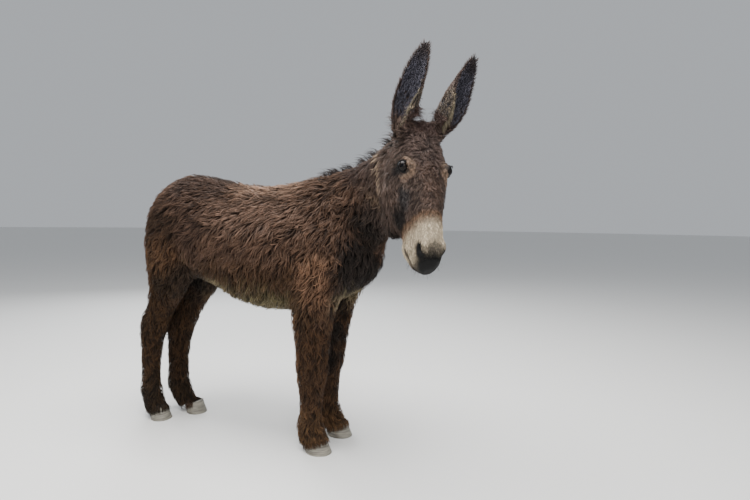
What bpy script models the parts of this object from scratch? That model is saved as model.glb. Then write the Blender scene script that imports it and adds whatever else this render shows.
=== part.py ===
"""A life-size standing donkey with a shaggy coat, its head lowered and turned to its right.

It faces +X, its left is +Y, and its hooves stand on z = 0. The origin is on the floor under the middle of
the whole donkey. The flesh is lofted as one body, out to the tips of the coat, and then parted with thin
cuts at the joints that a person would name.
"""

import math

import bmesh
import bpy
from mathutils import Matrix, Vector

RIGHT, LEFT = -1, 1

# Driving dimensions, in metres
WITHERS_HEIGHT = 1.30
HEAD_LENGTH = 0.585
EAR_LENGTH = {RIGHT: 0.34, LEFT: 0.33}
EYE_RADIUS = 0.021
GAP = 0.0004

PERCENT = WITHERS_HEIGHT / 100
RING_SIDES = 20

# ---------------------------------------------------------------- scene and helpers

for old in list(bpy.data.objects):
    bpy.data.objects.remove(old, do_unlink=True)


def collection(name):
    made = bpy.data.collections.new(name)
    bpy.context.scene.collection.children.link(made)
    return made


DONKEY = collection("donkey")
CUTTERS = collection("cutters")


def material(name, color, roughness):
    made = bpy.data.materials.new(name)
    made.use_nodes = True
    made.diffuse_color = (*color, 1)
    shader = made.node_tree.nodes["Principled BSDF"]
    shader.inputs["Base Color"].default_value = (*color, 1)
    shader.inputs["Roughness"].default_value = roughness
    shader.inputs["Metallic"].default_value = 0
    return made


COAT = material("shaggy_brown_coat", (0.060, 0.036, 0.025), 0.85)
MUZZLE = material("pale_muzzle", (0.42, 0.36, 0.29), 0.80)
EAR = material("dark_ear", (0.045, 0.035, 0.032), 0.85)
HOOF = material("grey_horn", (0.26, 0.23, 0.18), 0.50)
EYE = material("dark_eye", (0.010, 0.008, 0.007), 0.08)


def new_object(name, mesh, home, mat=None):
    """An object in its collection. A cutter is hidden from the render."""
    made = bpy.data.objects.new(name, mesh)
    home.objects.link(made)
    if home == CUTTERS:
        made.hide_render = True
        made.display_type = "WIRE"
    if mat:
        mesh.materials.append(mat)
    return made


def mesh_of(bm, name, turn_out=True):
    """The bmesh as a mesh, with its faces turned outwards unless they already are."""
    if turn_out:
        bmesh.ops.recalc_face_normals(bm, faces=bm.faces[:])
    mesh = bpy.data.meshes.new(name)
    bm.to_mesh(mesh)
    bm.free()
    return mesh


def evaluated_mesh(obj):
    graph = bpy.context.evaluated_depsgraph_get()
    return bpy.data.meshes.new_from_object(obj.evaluated_get(graph))


def body_point(x, y, z):
    """A place on the body, given in percent of the withers height."""
    return Vector((x, y, z)) * PERCENT


# ---------------------------------------------------------------- shape makers


def loft(bm, sections):
    """A closed tube through sections. Each is (upper end, lower end, half width, share of the depth below the
    widest level), and the ring stands across the path of the sections' middles."""
    middles = [(upper + lower) / 2 for upper, lower, _, _ in sections]
    rings = []
    for i, (upper, lower, half_width, widest) in enumerate(sections):
        along = middles[min(i + 1, len(middles) - 1)] - middles[max(i - 1, 0)]
        depth = upper - lower
        side = along.cross(depth).normalized()
        ring = []
        for k in range(RING_SIDES):
            turn = math.tau * k / RING_SIDES
            reach = math.cos(turn)
            level = widest + reach * (1 - widest if reach > 0 else widest)
            ring.append(bm.verts.new(lower + depth * level + side * half_width * math.sin(turn)))
        rings.append(ring)
    for ring, after in zip(rings, rings[1:]):
        for k in range(RING_SIDES):
            m = (k + 1) % RING_SIDES
            bm.faces.new((ring[k], ring[m], after[m], after[k]))
    bm.faces.new(rings[0][::-1])
    bm.faces.new(rings[-1])


def ellipsoid(bm, place, radii, frame=None):
    """A rounded mass of flesh at a place, turned with a frame."""
    turn = frame.to_3x3().to_4x4() if frame else Matrix()
    at = frame @ Vector(place) if frame else Vector(place)
    bmesh.ops.create_uvsphere(
        bm,
        u_segments=20,
        v_segments=12,
        radius=1,
        matrix=Matrix.Translation(at) @ turn @ Matrix.Diagonal((*radii, 1)),
    )


# ---------------------------------------------------------------- trunk

# (name, x, top, bottom, half width, share of the depth below the widest level), in percent
TRUNK = [
    ("rump end", -51.2, 84.5, 76, 4.0, 0.5),
    ("buttock", -50.0, 88.4, 70, 9.0, 0.5),
    ("tail head", -47.2, 92.8, 66, 12.8, 0.5),
    ("pelvis", -41.0, 98.7, 62, 15.6, 0.55),
    ("croup", -33.0, 101.3, 60, 16.6, 0.55),
    ("loin", -21.0, 99.6, 57, 16.8, 0.5),
    ("back", -8.0, 96.8, 51.5, 17.6, 0.45),
    ("barrel", 4.0, 96.0, 49.0, 18.0, 0.45),
    ("girth", 15.0, 97.2, 49.5, 16.8, 0.45),
    ("withers", 25.5, 100.0, 52.0, 15.0, 0.42),
    ("shoulder", 33.0, 98.0, 54.5, 14.0, 0.42),
    ("breast", 41.0, 88.0, 58.5, 12.0, 0.45),
    ("breastbone", 46.0, 79.0, 63.0, 8.5, 0.5),
    ("breast end", 48.5, 75.0, 67.0, 3.5, 0.5),
]


def add_trunk(bm):
    loft(
        bm,
        [
            (body_point(x, 0, top), body_point(x, 0, bottom), half * PERCENT, widest)
            for _, x, top, bottom, half, widest in TRUNK
        ],
    )


# ---------------------------------------------------------------- legs

# (name, height, front, rear, distance from the midline, half width), in percent
HIND_LEG = [
    ("hip", 92, -28, -46, 6.0, 6.5),
    ("haunch", 83, -26, -49.8, 7.2, 8.2),
    ("thigh", 73, -26, -50.3, 8.0, 8.6),
    ("stifle", 63, -27.5, -49.6, 8.0, 7.4),
    ("gaskin top", 56, -31.4, -49.2, 7.8, 6.0),
    ("gaskin", 48.5, -37.6, -50.5, 7.4, 4.9),
    ("hock top", 41, -42.2, -55.0, 7.1, 4.3),
    ("hock", 36.5, -44.2, -55.9, 6.9, 4.2),
    ("hock base", 31, -46.2, -55.4, 6.8, 3.9),
    ("cannon", 22, -47.6, -55.4, 6.7, 3.4),
    ("fetlock top", 14.5, -47.6, -55.7, 6.7, 3.4),
    ("fetlock", 10.5, -46.8, -56.1, 6.7, 3.8),
    ("pastern", 6.8, -45.4, -55.0, 6.7, 3.7),
    ("coronet", 3.6, -44.6, -53.2, 6.7, 3.7),
    ("heel hair", 0.8, -44.2, -52.4, 6.7, 3.4),
]
FORE_LEG = [
    ("blade", 88, 33, 18, 6.5, 5.5),
    ("shoulder", 77, 42, 17, 7.6, 7.4),
    ("arm", 67, 42.6, 16.5, 8.6, 7.6),
    ("elbow", 57.5, 37.8, 17.0, 9.0, 6.8),
    ("forearm top", 50, 34.6, 18.6, 9.0, 6.0),
    ("forearm", 41, 33.2, 19.6, 8.8, 5.1),
    ("knee top", 34, 32.4, 20.2, 8.7, 4.7),
    ("knee", 29.5, 32.4, 20.2, 8.6, 4.8),
    ("knee base", 24.5, 31.2, 20.6, 8.6, 4.0),
    ("cannon", 18.5, 30.2, 21.7, 8.5, 3.5),
    ("fetlock top", 13.5, 29.6, 21.5, 8.5, 3.6),
    ("fetlock", 10, 30.3, 20.5, 8.5, 4.0),
    ("pastern", 6.6, 31.5, 20.6, 8.5, 3.8),
    ("coronet", 3.6, 32.9, 21.6, 8.5, 3.8),
    ("heel hair", 0.8, 33.2, 22.2, 8.5, 3.5),
]
# How far forwards of its table each leg stands: (height, shift), in percent
STANCE = {
    ("hind", RIGHT): [(0, 0)],
    ("hind", LEFT): [(0, 8.2), (3.6, 6.4), (7, 5.2), (10, 4.5), (15, 4.3), (36, 4.2), (54, 3.8), (70, 2.2), (85, 0)],
    ("fore", RIGHT): [(0, 0)],
    ("fore", LEFT): [(0, 0.2), (5, -0.6), (10, -1.3), (22, -2.3), (30, -2.0), (40, -1.1), (60, 0)],
}
NARROWER = {("hind", LEFT): 1.4}
# How much further the hair stands out behind a leg below the stifle
FULLER = {("hind", LEFT): 1.6}


def stance_at(leg, side, height):
    """How far forwards a leg stands at a height, and how far in from its table."""
    rows = STANCE[leg, side]
    for (low, below), (high, above) in zip(rows, rows[1:]):
        if height <= high:
            return below + (above - below) * (height - low) / (high - low), narrower(leg, side, height)
    return rows[-1][1], narrower(leg, side, height)


def narrower(leg, side, height):
    return NARROWER.get((leg, side), 0) * min(1, max(0, (85 - height) / 50))


def leg_section(leg, side, height, front, rear, out, half_width):
    forwards, inwards = stance_at(leg, side, height)
    behind = FULLER.get((leg, side), 0) * min(1, max(0, (64 - height) / 16))
    y = side * (out - inwards)
    return (
        body_point(front + forwards, y, height),
        body_point(rear + forwards - behind, y, height),
        half_width * PERCENT,
        0.5,
    )


def add_leg(bm, leg, side, table):
    loft(bm, [leg_section(leg, side, *row[1:]) for row in table])


# ---------------------------------------------------------------- neck

# (name, crest point, throat point, half width), in percent
NECK = [
    ("base", (20, 0, 98), (39, 0, 60), 11.5),
    ("shoulders", (29, -0.3, 99.8), (47.5, -1.0, 69), 9.5),
    ("lower neck", (39.5, -3.5, 101.8), (52.5, -4.0, 78), 8.0),
    ("middle", (48, -7.0, 104.2), (55.5, -7.0, 86), 7.0),
    ("upper neck", (56.5, -12.5, 108.6), (58.5, -9.5, 93), 6.3),
    ("nape", (64.5, -16.5, 112.0), (61.5, -11.0, 97.5), 6.0),
]


def add_neck(bm):
    loft(
        bm,
        [(body_point(*crest), body_point(*throat), half * PERCENT, 0.5) for _, crest, throat, half in NECK],
    )


# ---------------------------------------------------------------- head

# The head's own frame: origin at the poll, +X down the nose, +Y to its left, +Z out of the forehead
POLL = Vector((0.905, -0.262, 1.474))
HEAD_YAW, HEAD_PITCH, HEAD_ROLL = math.radians(-58.9), math.radians(59.0), math.radians(-8.0)
HEAD_FRAME = (
    Matrix.Translation(POLL)
    @ Matrix.Rotation(HEAD_YAW, 4, "Z")
    @ Matrix.Rotation(HEAD_PITCH, 4, "Y")
    @ Matrix.Rotation(HEAD_ROLL, 4, "X")
)
HEAD_PERCENT = HEAD_LENGTH / 100

# (name, distance down the nose, forehead side, jaw side, half width, share of the depth below the widest level)
HEAD = [
    ("back of the skull", -3, -4, -28, 10.0, 0.55),
    ("poll", 2, 1.5, -40, 13.0, 0.55),
    ("ears", 9, 3.5, -47, 15.6, 0.50),
    ("jaw corner", 17, 4.5, -51.5, 18.2, 0.46),
    ("temple", 27, 4.2, -53.5, 20.2, 0.44),
    ("cheek", 36, 3.0, -53.0, 20.8, 0.44),
    ("below the eye", 46, 1.5, -53.0, 18.8, 0.40),
    ("cheek bone end", 55, 0.3, -52.5, 16.2, 0.42),
    ("nose bone", 63, -0.7, -48.0, 13.0, 0.44),
    ("nose", 70, -1.5, -43.0, 11.0, 0.46),
    ("above the nostrils", 78, -2.6, -39.5, 10.4, 0.46),
    ("nostrils", 86, -4.4, -37.0, 9.9, 0.46),
    ("upper lip", 92, -7.2, -34.5, 8.8, 0.48),
    ("lip front", 97.5, -11.0, -31.5, 6.8, 0.48),
    ("lip tip", 101, -16.0, -27.0, 3.6, 0.5),
]
# (name, place, radii) of the right one of each pair of masses, in percent of the head's length
HEAD_MASSES = [
    ("eye socket", (34.0, 11.4, -7.4), (8.8, 5.3, 6.8)),
    ("ear base", (3.5, 11.2, -4.5), (8.5, 6.6, 7.5)),
    ("jaw corner", (25, 11.8, -42), (18.0, 8.6, 14.0)),
    ("nostril wing", (89, 5.4, -11.5), (6.0, 3.2, 6.0)),
    ("upper lip corner", (91, 4.2, -21.0), (8.0, 4.2, 7.5)),
    ("mouth corner", (80, 6.4, -31.0), (9.0, 4.6, 7.0)),
]
CHIN = ((84.5, 0, -34.0), (10.5, 7.4, 6.2))
# The long hair of the jaws hangs straight down: place in percent, radii in metres
JAW_HAIR = ((46, 9.5, -44), (0.056, 0.052, 0.102))
MUZZLE_FROM = 71


def head_point(x, y, z):
    return HEAD_FRAME @ (Vector((x, y, z)) * HEAD_PERCENT)


def add_head(bm):
    loft(
        bm,
        [
            (head_point(x, 0, top), head_point(x, 0, bottom), half * HEAD_PERCENT, widest)
            for _, x, top, bottom, half, widest in HEAD
        ],
    )
    for _, (x, y, z), radii in HEAD_MASSES:
        for side in (RIGHT, LEFT):
            place = Vector((x, side * y, z)) * HEAD_PERCENT
            ellipsoid(bm, place, Vector(radii) * HEAD_PERCENT, HEAD_FRAME)
    place, radii = CHIN
    ellipsoid(bm, Vector(place) * HEAD_PERCENT, Vector(radii) * HEAD_PERCENT, HEAD_FRAME)
    (x, y, z), radii = JAW_HAIR
    for side in (RIGHT, LEFT):
        ellipsoid(bm, head_point(x, side * y, z), radii)


# ---------------------------------------------------------------- tail

# (name, x, y, height, half depth, half width), in percent
TAIL = [
    ("root", -45.5, 0, 90.5, 2.8, 3.2),
    ("dock top", -49.0, 0, 89.0, 2.7, 3.0),
    ("dock bend", -50.8, 0.3, 85.0, 2.5, 2.7),
    ("dock", -51.5, 0.8, 78.0, 2.2, 2.4),
    ("dock end", -51.5, 1.4, 66.0, 2.0, 2.2),
    ("switch top", -51.6, 1.6, 56.0, 2.4, 2.8),
    ("switch", -51.8, 1.6, 46.0, 2.7, 3.2),
    ("switch tip", -52.0, 1.6, 36.0, 1.6, 1.8),
    ("tail end", -52.1, 1.6, 32.5, 0.5, 0.6),
]


def add_tail(bm):
    middles = [body_point(x, y, z) for _, x, y, z, _, _ in TAIL]
    sections = []
    for i, (_, _, _, _, half_depth, half_width) in enumerate(TAIL):
        along = (middles[min(i + 1, len(middles) - 1)] - middles[max(i - 1, 0)]).normalized()
        across = along.cross(Vector((0, 1, 0))).normalized() * half_depth * PERCENT
        sections.append((middles[i] + across, middles[i] - across, half_width * PERCENT, 0.5))
    loft(bm, sections)


# ---------------------------------------------------------------- flesh


def torso_forms(bm):
    add_trunk(bm)
    add_neck(bm)
    for side in (RIGHT, LEFT):
        add_leg(bm, "hind", side, HIND_LEG)
        add_leg(bm, "fore", side, FORE_LEG)


# (name, what fills it, size of a voxel, rounds of smoothing, share of the faces kept)
FLESH = [
    ("torso", torso_forms, 0.009, 8, 0.027),
    ("skull", add_head, 0.0065, 7, 0.046),
    ("dock", add_tail, 0.007, 4, 0.045),
]


def fused(name, fill, voxel, rounds, share):
    """Overlapping forms made one smooth body of few faces."""
    bm = bmesh.new()
    fill(bm)
    forms = new_object(f"{name}_forms", mesh_of(bm, name), CUTTERS)
    fuse = forms.modifiers.new("Fuse", "REMESH")
    fuse.mode = "VOXEL"
    fuse.voxel_size = voxel
    smooth = forms.modifiers.new("Smooth", "SMOOTH")
    smooth.factor = 0.5
    smooth.iterations = rounds
    reduce = forms.modifiers.new("Reduce", "DECIMATE")
    reduce.ratio = share
    return new_object(name, evaluated_mesh(forms), CUTTERS)


def grown(obj, by):
    """A copy of an object with its surface moved outwards."""
    bm = bmesh.new()
    bm.from_mesh(obj.data)
    bm.normal_update()
    places = [vert.co + vert.normal * by for vert in bm.verts]
    for vert, place in zip(bm.verts, places):
        vert.co = place
    return new_object(f"{obj.name}_grown", mesh_of(bm, obj.name), CUTTERS)


torso, skull, dock = [fused(*row) for row in FLESH]

# ---------------------------------------------------------------- eyes

EYE_PLACE = (35.0, 14.3, -5.8)


def add_ball(bm, side, radius):
    x, y, z = EYE_PLACE
    bmesh.ops.create_uvsphere(
        bm, u_segments=14, v_segments=9, radius=radius, matrix=Matrix.Translation(head_point(x, side * y, z))
    )


for side, word in ((RIGHT, "right"), (LEFT, "left")):
    bm = bmesh.new()
    add_ball(bm, side, EYE_RADIUS)
    eye = new_object(f"eye_{word}", mesh_of(bm, f"eye_{word}"), DONKEY, EYE)
    eye.data.shade_smooth()

# ---------------------------------------------------------------- cuts

NOSTRIL_PLACE, NOSTRIL_RADII = (90.5, 8.2, -12.5), (0.026, 0.013, 0.011)
UP = Vector((0, 0, 1))
# (front, rear) of each sole, the heights of the hair line at the toe and at the heel, and how far the line's two
# ends stand off the sole's, in percent
SOLE = {"fore": (34.0, 24.0), "hind": (-42.0, -50.6)}
CORONET = (5.3, 2.9)
CORONET_SET_BACK = (-2.1, -0.3)
LEG_TABLES = {"fore": FORE_LEG, "hind": HIND_LEG}
HOOF_SPACE = (0.30, 0.13, 0.20)
# (name, a point on the cut, the direction across it, halves of its two sides)
TORSO_CUTS = [
    ("neck base", body_point(40, 0, 84), Vector((0.89, -0.02, 0.455)), (0.36, 0.36)),
    ("elbows", body_point(27, 0, 49), UP, (0.125, 0.25)),
    ("stifle right", body_point(-40, -8, 54), UP, (0.18, 0.10)),
    ("stifle left", body_point(-36.5, 8, 54), UP, (0.17, 0.10)),
]
MUZZLE_CUT = [("muzzle", head_point(MUZZLE_FROM, 0, -22), HEAD_FRAME.to_3x3() @ Vector((1, 0, 0)), (0.16, 0.16))]


def add_slabs(bm, cuts):
    for _, place, direction, halves in cuts:
        turn = direction.normalized().to_track_quat("Z", "Y").to_matrix().to_4x4()
        sides = (2 * halves[0], 2 * halves[1], GAP, 1)
        bmesh.ops.create_cube(bm, size=1, matrix=Matrix.Translation(place) @ turn @ Matrix.Diagonal(sides))


def add_sockets(bm):
    for side in (RIGHT, LEFT):
        add_ball(bm, side, EYE_RADIUS + GAP)


def add_nostril_holes(bm):
    x, y, z = NOSTRIL_PLACE
    for side in (RIGHT, LEFT):
        place = Matrix.Translation(Vector((x, side * y, z)) * HEAD_PERCENT)
        turn = Matrix.Rotation(side * 0.5, 4, "Z") @ Matrix.Rotation(0.5, 4, "Y")
        bmesh.ops.create_uvsphere(
            bm,
            u_segments=14,
            v_segments=9,
            radius=1,
            matrix=HEAD_FRAME @ place @ turn @ Matrix.Diagonal((*NOSTRIL_RADII, 1)),
        )


def hoof_place(leg, side):
    """The front and rear of a sole, and how far it is from the midline, in percent."""
    front, rear = SOLE[leg]
    forwards, inwards = stance_at(leg, side, 0)
    return front + forwards, rear + forwards, side * (LEG_TABLES[leg][-1][4] - inwards)


def add_hoof_spaces(bm):
    """The space under each leg's hair line, which slopes down from the toe to the heel."""
    for leg in SOLE:
        for side in (RIGHT, LEFT):
            front, rear, y = hoof_place(leg, side)
            toe = body_point(front + CORONET_SET_BACK[0], y, CORONET[0])
            heel = body_point(rear + CORONET_SET_BACK[1], y, CORONET[1])
            slope = Matrix.Rotation(-math.atan2(toe.z - heel.z, toe.x - heel.x), 4, "Y")
            block = Matrix.Translation((0, 0, -HOOF_SPACE[2] / 2)) @ Matrix.Diagonal((*HOOF_SPACE, 1))
            bmesh.ops.create_cube(bm, size=1, matrix=Matrix.Translation((toe + heel) / 2) @ slope @ block)


def cutter(name, fill, *values):
    bm = bmesh.new()
    fill(bm, *values)
    return new_object(name, mesh_of(bm, name), CUTTERS)


def take_away(obj, tools):
    for tool in tools:
        cut = obj.modifiers.new(tool.name, "BOOLEAN")
        cut.operation = "DIFFERENCE"
        cut.object = tool


grown_skull = grown(skull, GAP)
take_away(
    torso, [grown_skull, cutter("hoof_spaces", add_hoof_spaces), cutter("torso_cuts", add_slabs, TORSO_CUTS)]
)
take_away(dock, [grown(torso, GAP)])
take_away(
    skull,
    [
        cutter("sockets", add_sockets),
        cutter("nostril_holes", add_nostril_holes),
        cutter("muzzle_cut", add_slabs, MUZZLE_CUT),
    ],
)


def loose_parts(mesh):
    """The separate closed bodies of a mesh, each as a new mesh."""
    bm = bmesh.new()
    bm.from_mesh(mesh)
    waiting = set(bm.verts)
    found = []
    while waiting:
        island = {waiting.pop()}
        edge = list(island)
        while edge:
            near = {e.other_vert(v) for v in edge for e in v.link_edges} - island
            island |= near
            edge = list(near)
        waiting -= island
        found.append([v.index for v in island])
    bm.free()
    parts = []
    for island in found:
        bm = bmesh.new()
        bm.from_mesh(mesh)
        kept = set(island)
        bmesh.ops.delete(bm, geom=[v for v in bm.verts if v.index not in kept], context="VERTS")
        parts.append(mesh_of(bm, "part", turn_out=False))
    return parts


def middle_of(mesh):
    return sum((v.co for v in mesh.vertices), Vector()) / len(mesh.vertices)


# A point near the middle of each piece that the cuts leave
PIECES = {
    "trunk": (torso, body_point(-5, 0, 74), COAT),
    "neck": (torso, body_point(48, -6, 90), COAT),
    "leg_fore_right": (torso, body_point(28, -9, 27), COAT),
    "leg_fore_left": (torso, body_point(28, 9, 27), COAT),
    "leg_hind_right": (torso, body_point(-47, -7, 29), COAT),
    "leg_hind_left": (torso, body_point(-40, 5, 29), COAT),
    "head": (skull, head_point(32, 0, -18), COAT),
    "muzzle": (skull, head_point(87, 0, -15), MUZZLE),
    "tail": (dock, body_point(-52, 1, 62), COAT),
}
parts = {flesh: loose_parts(evaluated_mesh(flesh)) for flesh in (torso, skull, dock)}
for name, (flesh, place, mat) in PIECES.items():
    nearest = min(parts[flesh], key=lambda part: (middle_of(part) - place).length)
    piece = new_object(name, nearest, DONKEY, mat)
    piece.data.shade_flat()

# ---------------------------------------------------------------- hooves

# (height as a share of the hair line's, how far in front and rear from the hair line's end to the sole's,
# half width in percent)
HOOF_ROWS = [("coronet", 1.0, 1.0, 3.4), ("wall", 0.5, 0.5, 3.85), ("sole", 0.0, 0.0, 4.3)]


def hoof(leg, side, name):
    front, rear, y = hoof_place(leg, side)
    bm = bmesh.new()
    rows = []
    for _, height, share, half in HOOF_ROWS:
        upper = body_point(front + CORONET_SET_BACK[0] * share, y, CORONET[0] * height)
        lower = body_point(rear + CORONET_SET_BACK[1] * share, y, CORONET[1] * height)
        if height:
            upper.z -= 1.2 * GAP
            lower.z -= 1.2 * GAP
        rows.append((upper, lower, half * PERCENT, 0.52))
    loft(bm, rows)
    made = new_object(name, mesh_of(bm, name), DONKEY, HOOF)
    made.data.shade_smooth()
    made.data.set_sharp_from_angle(angle=math.radians(40))


for side, word in ((RIGHT, "right"), (LEFT, "left")):
    hoof("fore", side, f"hoof_fore_{word}")
    hoof("hind", side, f"hoof_hind_{word}")

# ---------------------------------------------------------------- ears

# The ears prick forwards and lean a little to the donkey's left, as its head tilts.
EAR_ROOT = {RIGHT: (5.0, -13.2, -5.5), LEFT: (3.0, 10.8, -4.5)}
EAR_AXIS = {RIGHT: Vector((-0.80, 0.172, 0.58)), LEFT: Vector((-0.76, 0.42, 0.51))}
EAR_OPENS_OUTWARDS = {RIGHT: math.radians(38), LEFT: math.radians(21)}
EAR_BOWS_OUTWARDS = 0.009
EAR_SINK = 0.045
EAR_THICKNESS = 0.009
EAR_ROWS, EAR_COLUMNS = 9, 8
# Share of the length, half of the width across the opening, then how far the ear wraps round from its back to
# its outer edge and to its inner one, in degrees. The inner edge curls over the opening low down, and more in
# the left ear.
EAR_SHAPE = {
    RIGHT: [
        (0.00, 0.014, 165, 165),
        (0.15, 0.034, 150, 150),
        (0.30, 0.044, 122, 132),
        (0.40, 0.045, 110, 134),
        (0.50, 0.046, 98, 104),
        (0.70, 0.040, 85, 85),
        (0.85, 0.029, 75, 75),
        (0.95, 0.016, 65, 65),
        (1.00, 0.005, 60, 60),
    ],
    LEFT: [
        (0.00, 0.018, 165, 165),
        (0.15, 0.035, 145, 150),
        (0.30, 0.047, 122, 150),
        (0.40, 0.054, 110, 138),
        (0.50, 0.056, 98, 116),
        (0.70, 0.046, 85, 86),
        (0.85, 0.033, 75, 75),
        (0.95, 0.018, 65, 65),
        (1.00, 0.006, 60, 60),
    ],
}


def between(table, share):
    """The row of a table at a share of its first column, eased between its neighbours."""
    for before, after in zip(table, table[1:]):
        if share <= after[0]:
            t = (share - before[0]) / (after[0] - before[0])
            return [a + (b - a) * t for a, b in zip(before[1:], after[1:])]
    return list(table[-1][1:])


def ear(side, name):
    axis = EAR_AXIS[side].normalized()
    ahead = Vector((0.68, 0, 0.73))
    ahead = (ahead - axis * ahead.dot(axis)).normalized()
    out = axis.cross(ahead).normalized()
    out = out if out.y * side > 0 else -out
    turned = EAR_OPENS_OUTWARDS[side]
    opening = (ahead * math.cos(turned) + out * math.sin(turned)).normalized()
    inwards = opening.cross(axis).normalized() * side
    root = Vector(EAR_ROOT[side]) * HEAD_PERCENT - axis * EAR_SINK
    length = EAR_LENGTH[side] + EAR_SINK
    bm = bmesh.new()
    rows = []
    for i in range(EAR_ROWS + 1):
        share = i / EAR_ROWS
        width, outer, inner = between(EAR_SHAPE[side], share)
        radius = width / (math.sin(math.radians(outer)) if outer < 90 else 1)
        bow = out * EAR_BOWS_OUTWARDS - opening * 0.012
        middle = root + axis * length * share + bow * math.sin(math.pi * share)
        row = []
        for k in range(EAR_COLUMNS + 1):
            turn = math.radians((outer + inner) * k / EAR_COLUMNS - outer)
            place = middle + inwards * radius * math.sin(turn) - opening * radius * (math.cos(turn) - 0.5)
            row.append(bm.verts.new(place))
        rows.append(row)
    for row, after in zip(rows, rows[1:]):
        for k in range(EAR_COLUMNS):
            bm.faces.new((row[k], row[k + 1], after[k + 1], after[k]))
    bmesh.ops.transform(bm, matrix=HEAD_FRAME, verts=bm.verts[:])
    shell = new_object(f"{name}_shell", mesh_of(bm, name), CUTTERS)
    thick = shell.modifiers.new("Thickness", "SOLIDIFY")
    thick.thickness = EAR_THICKNESS
    thick.offset = 0
    made = new_object(name, evaluated_mesh(shell), DONKEY, EAR)
    take_away(made, [grown_skull])


for side, word in ((RIGHT, "right"), (LEFT, "left")):
    ear(side, f"ear_{word}")

# ---------------------------------------------------------------- origin

# The forms above are measured from the floor under the middle of the body. The finished pieces move so that
# the origin is under the middle of the whole donkey.
finished = [(obj, evaluated_mesh(obj)) for obj in DONKEY.objects]
corners = [vert.co for _, mesh in finished for vert in mesh.vertices]
middle = [(min(c[axis] for c in corners) + max(c[axis] for c in corners)) / 2 for axis in (0, 1)]
to_origin = Matrix.Translation((-middle[0], -middle[1], 0))
for obj, mesh in finished:
    obj.modifiers.clear()
    mesh.transform(to_origin)
    obj.data = mesh
print("the forms' middle is at", [round(value, 5) for value in middle])
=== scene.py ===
import math

import bmesh
import bpy
import numpy as np
from mathutils import Matrix, Vector
from mathutils.bvhtree import BVHTree
from mathutils.kdtree import KDTree


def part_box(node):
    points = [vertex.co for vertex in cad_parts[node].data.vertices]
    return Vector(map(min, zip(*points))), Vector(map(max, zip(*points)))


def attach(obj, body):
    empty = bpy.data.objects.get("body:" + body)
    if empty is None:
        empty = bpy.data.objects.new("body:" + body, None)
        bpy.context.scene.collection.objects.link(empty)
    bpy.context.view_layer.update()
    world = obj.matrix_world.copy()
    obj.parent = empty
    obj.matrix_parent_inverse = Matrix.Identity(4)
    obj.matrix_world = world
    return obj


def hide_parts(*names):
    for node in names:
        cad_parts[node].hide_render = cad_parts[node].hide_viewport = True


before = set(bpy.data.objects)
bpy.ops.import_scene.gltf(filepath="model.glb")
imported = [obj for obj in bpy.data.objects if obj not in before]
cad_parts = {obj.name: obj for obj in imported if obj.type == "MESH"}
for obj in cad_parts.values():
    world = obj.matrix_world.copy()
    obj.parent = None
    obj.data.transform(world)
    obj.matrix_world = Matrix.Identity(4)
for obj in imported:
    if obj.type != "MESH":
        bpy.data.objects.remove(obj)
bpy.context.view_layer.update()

# ---------------------------------------------------------------- room
# A pale studio floor that runs out to a bright, even background, under one broad soft light overhead and two
# weaker ones, from the donkey's right front and from behind it. The donkey is 1.3 m at the withers, and
# places on its body are in percent of that, from the floor under its middle: forwards, leftwards and up.

PERCENT = 1.30 / 100
RUMP_BEHIND_MIDDLE = 51.2
CAMERA_PLACE = Vector((1.526, -2.236, 1.085))
CAMERA_AZIMUTH, CAMERA_DOWN, CAMERA_ROLL = math.radians(22.39), math.radians(3.22), math.radians(0.72)
CAMERA_LENS, CAMERA_SENSOR = 25.2, 36
FLOOR_RADIUS = 60


def middle_of(node):
    """The middle of a node's box."""
    low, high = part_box(node)
    return (low + high) / 2


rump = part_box("trunk")[0].x
BODY_MIDDLE = Vector((rump + RUMP_BEHIND_MIDDLE * PERCENT, middle_of("trunk").y, 0))


def object_of(shape, name):
    """A linked object from a mesh or a bmesh."""
    mesh = shape
    if isinstance(shape, bmesh.types.BMesh):
        mesh = bpy.data.meshes.new(name)
        shape.to_mesh(mesh)
        shape.free()
    made = bpy.data.objects.new(name, mesh)
    bpy.context.scene.collection.objects.link(made)
    return made


def material_of(name, color, roughness):
    """A plain material, which the others start from."""
    made = bpy.data.materials.new(name)
    made.use_nodes = True
    shader = made.node_tree.nodes["Principled BSDF"]
    shader.inputs["Base Color"].default_value = (*color, 1)
    shader.inputs["Roughness"].default_value = roughness
    return made


def soft_light(name, place, target, size, power, color):
    """A square lamp, which casts soft shadows, turned towards its target."""
    data = bpy.data.lights.new(name, "AREA")
    data.size = size
    data.energy = power
    data.color = color
    light = bpy.data.objects.new(name, data)
    bpy.context.scene.collection.objects.link(light)
    light.location = place
    light.rotation_euler = (Vector(target) - Vector(place)).to_track_quat("-Z", "Y").to_euler()


camera_data = bpy.data.cameras.new("camera")
camera_data.lens = CAMERA_LENS
camera_data.sensor_width = CAMERA_SENSOR
camera_data.clip_end = 200
camera = bpy.data.objects.new("camera", camera_data)
bpy.context.scene.collection.objects.link(camera)
camera.matrix_world = (
    Matrix.Translation(BODY_MIDDLE + CAMERA_PLACE)
    @ Matrix.Rotation(CAMERA_AZIMUTH, 4, "Z")
    @ Matrix.Rotation(math.pi / 2 - CAMERA_DOWN, 4, "X")
    @ Matrix.Rotation(CAMERA_ROLL, 4, "Z")
)
bpy.context.scene.camera = camera

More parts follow.
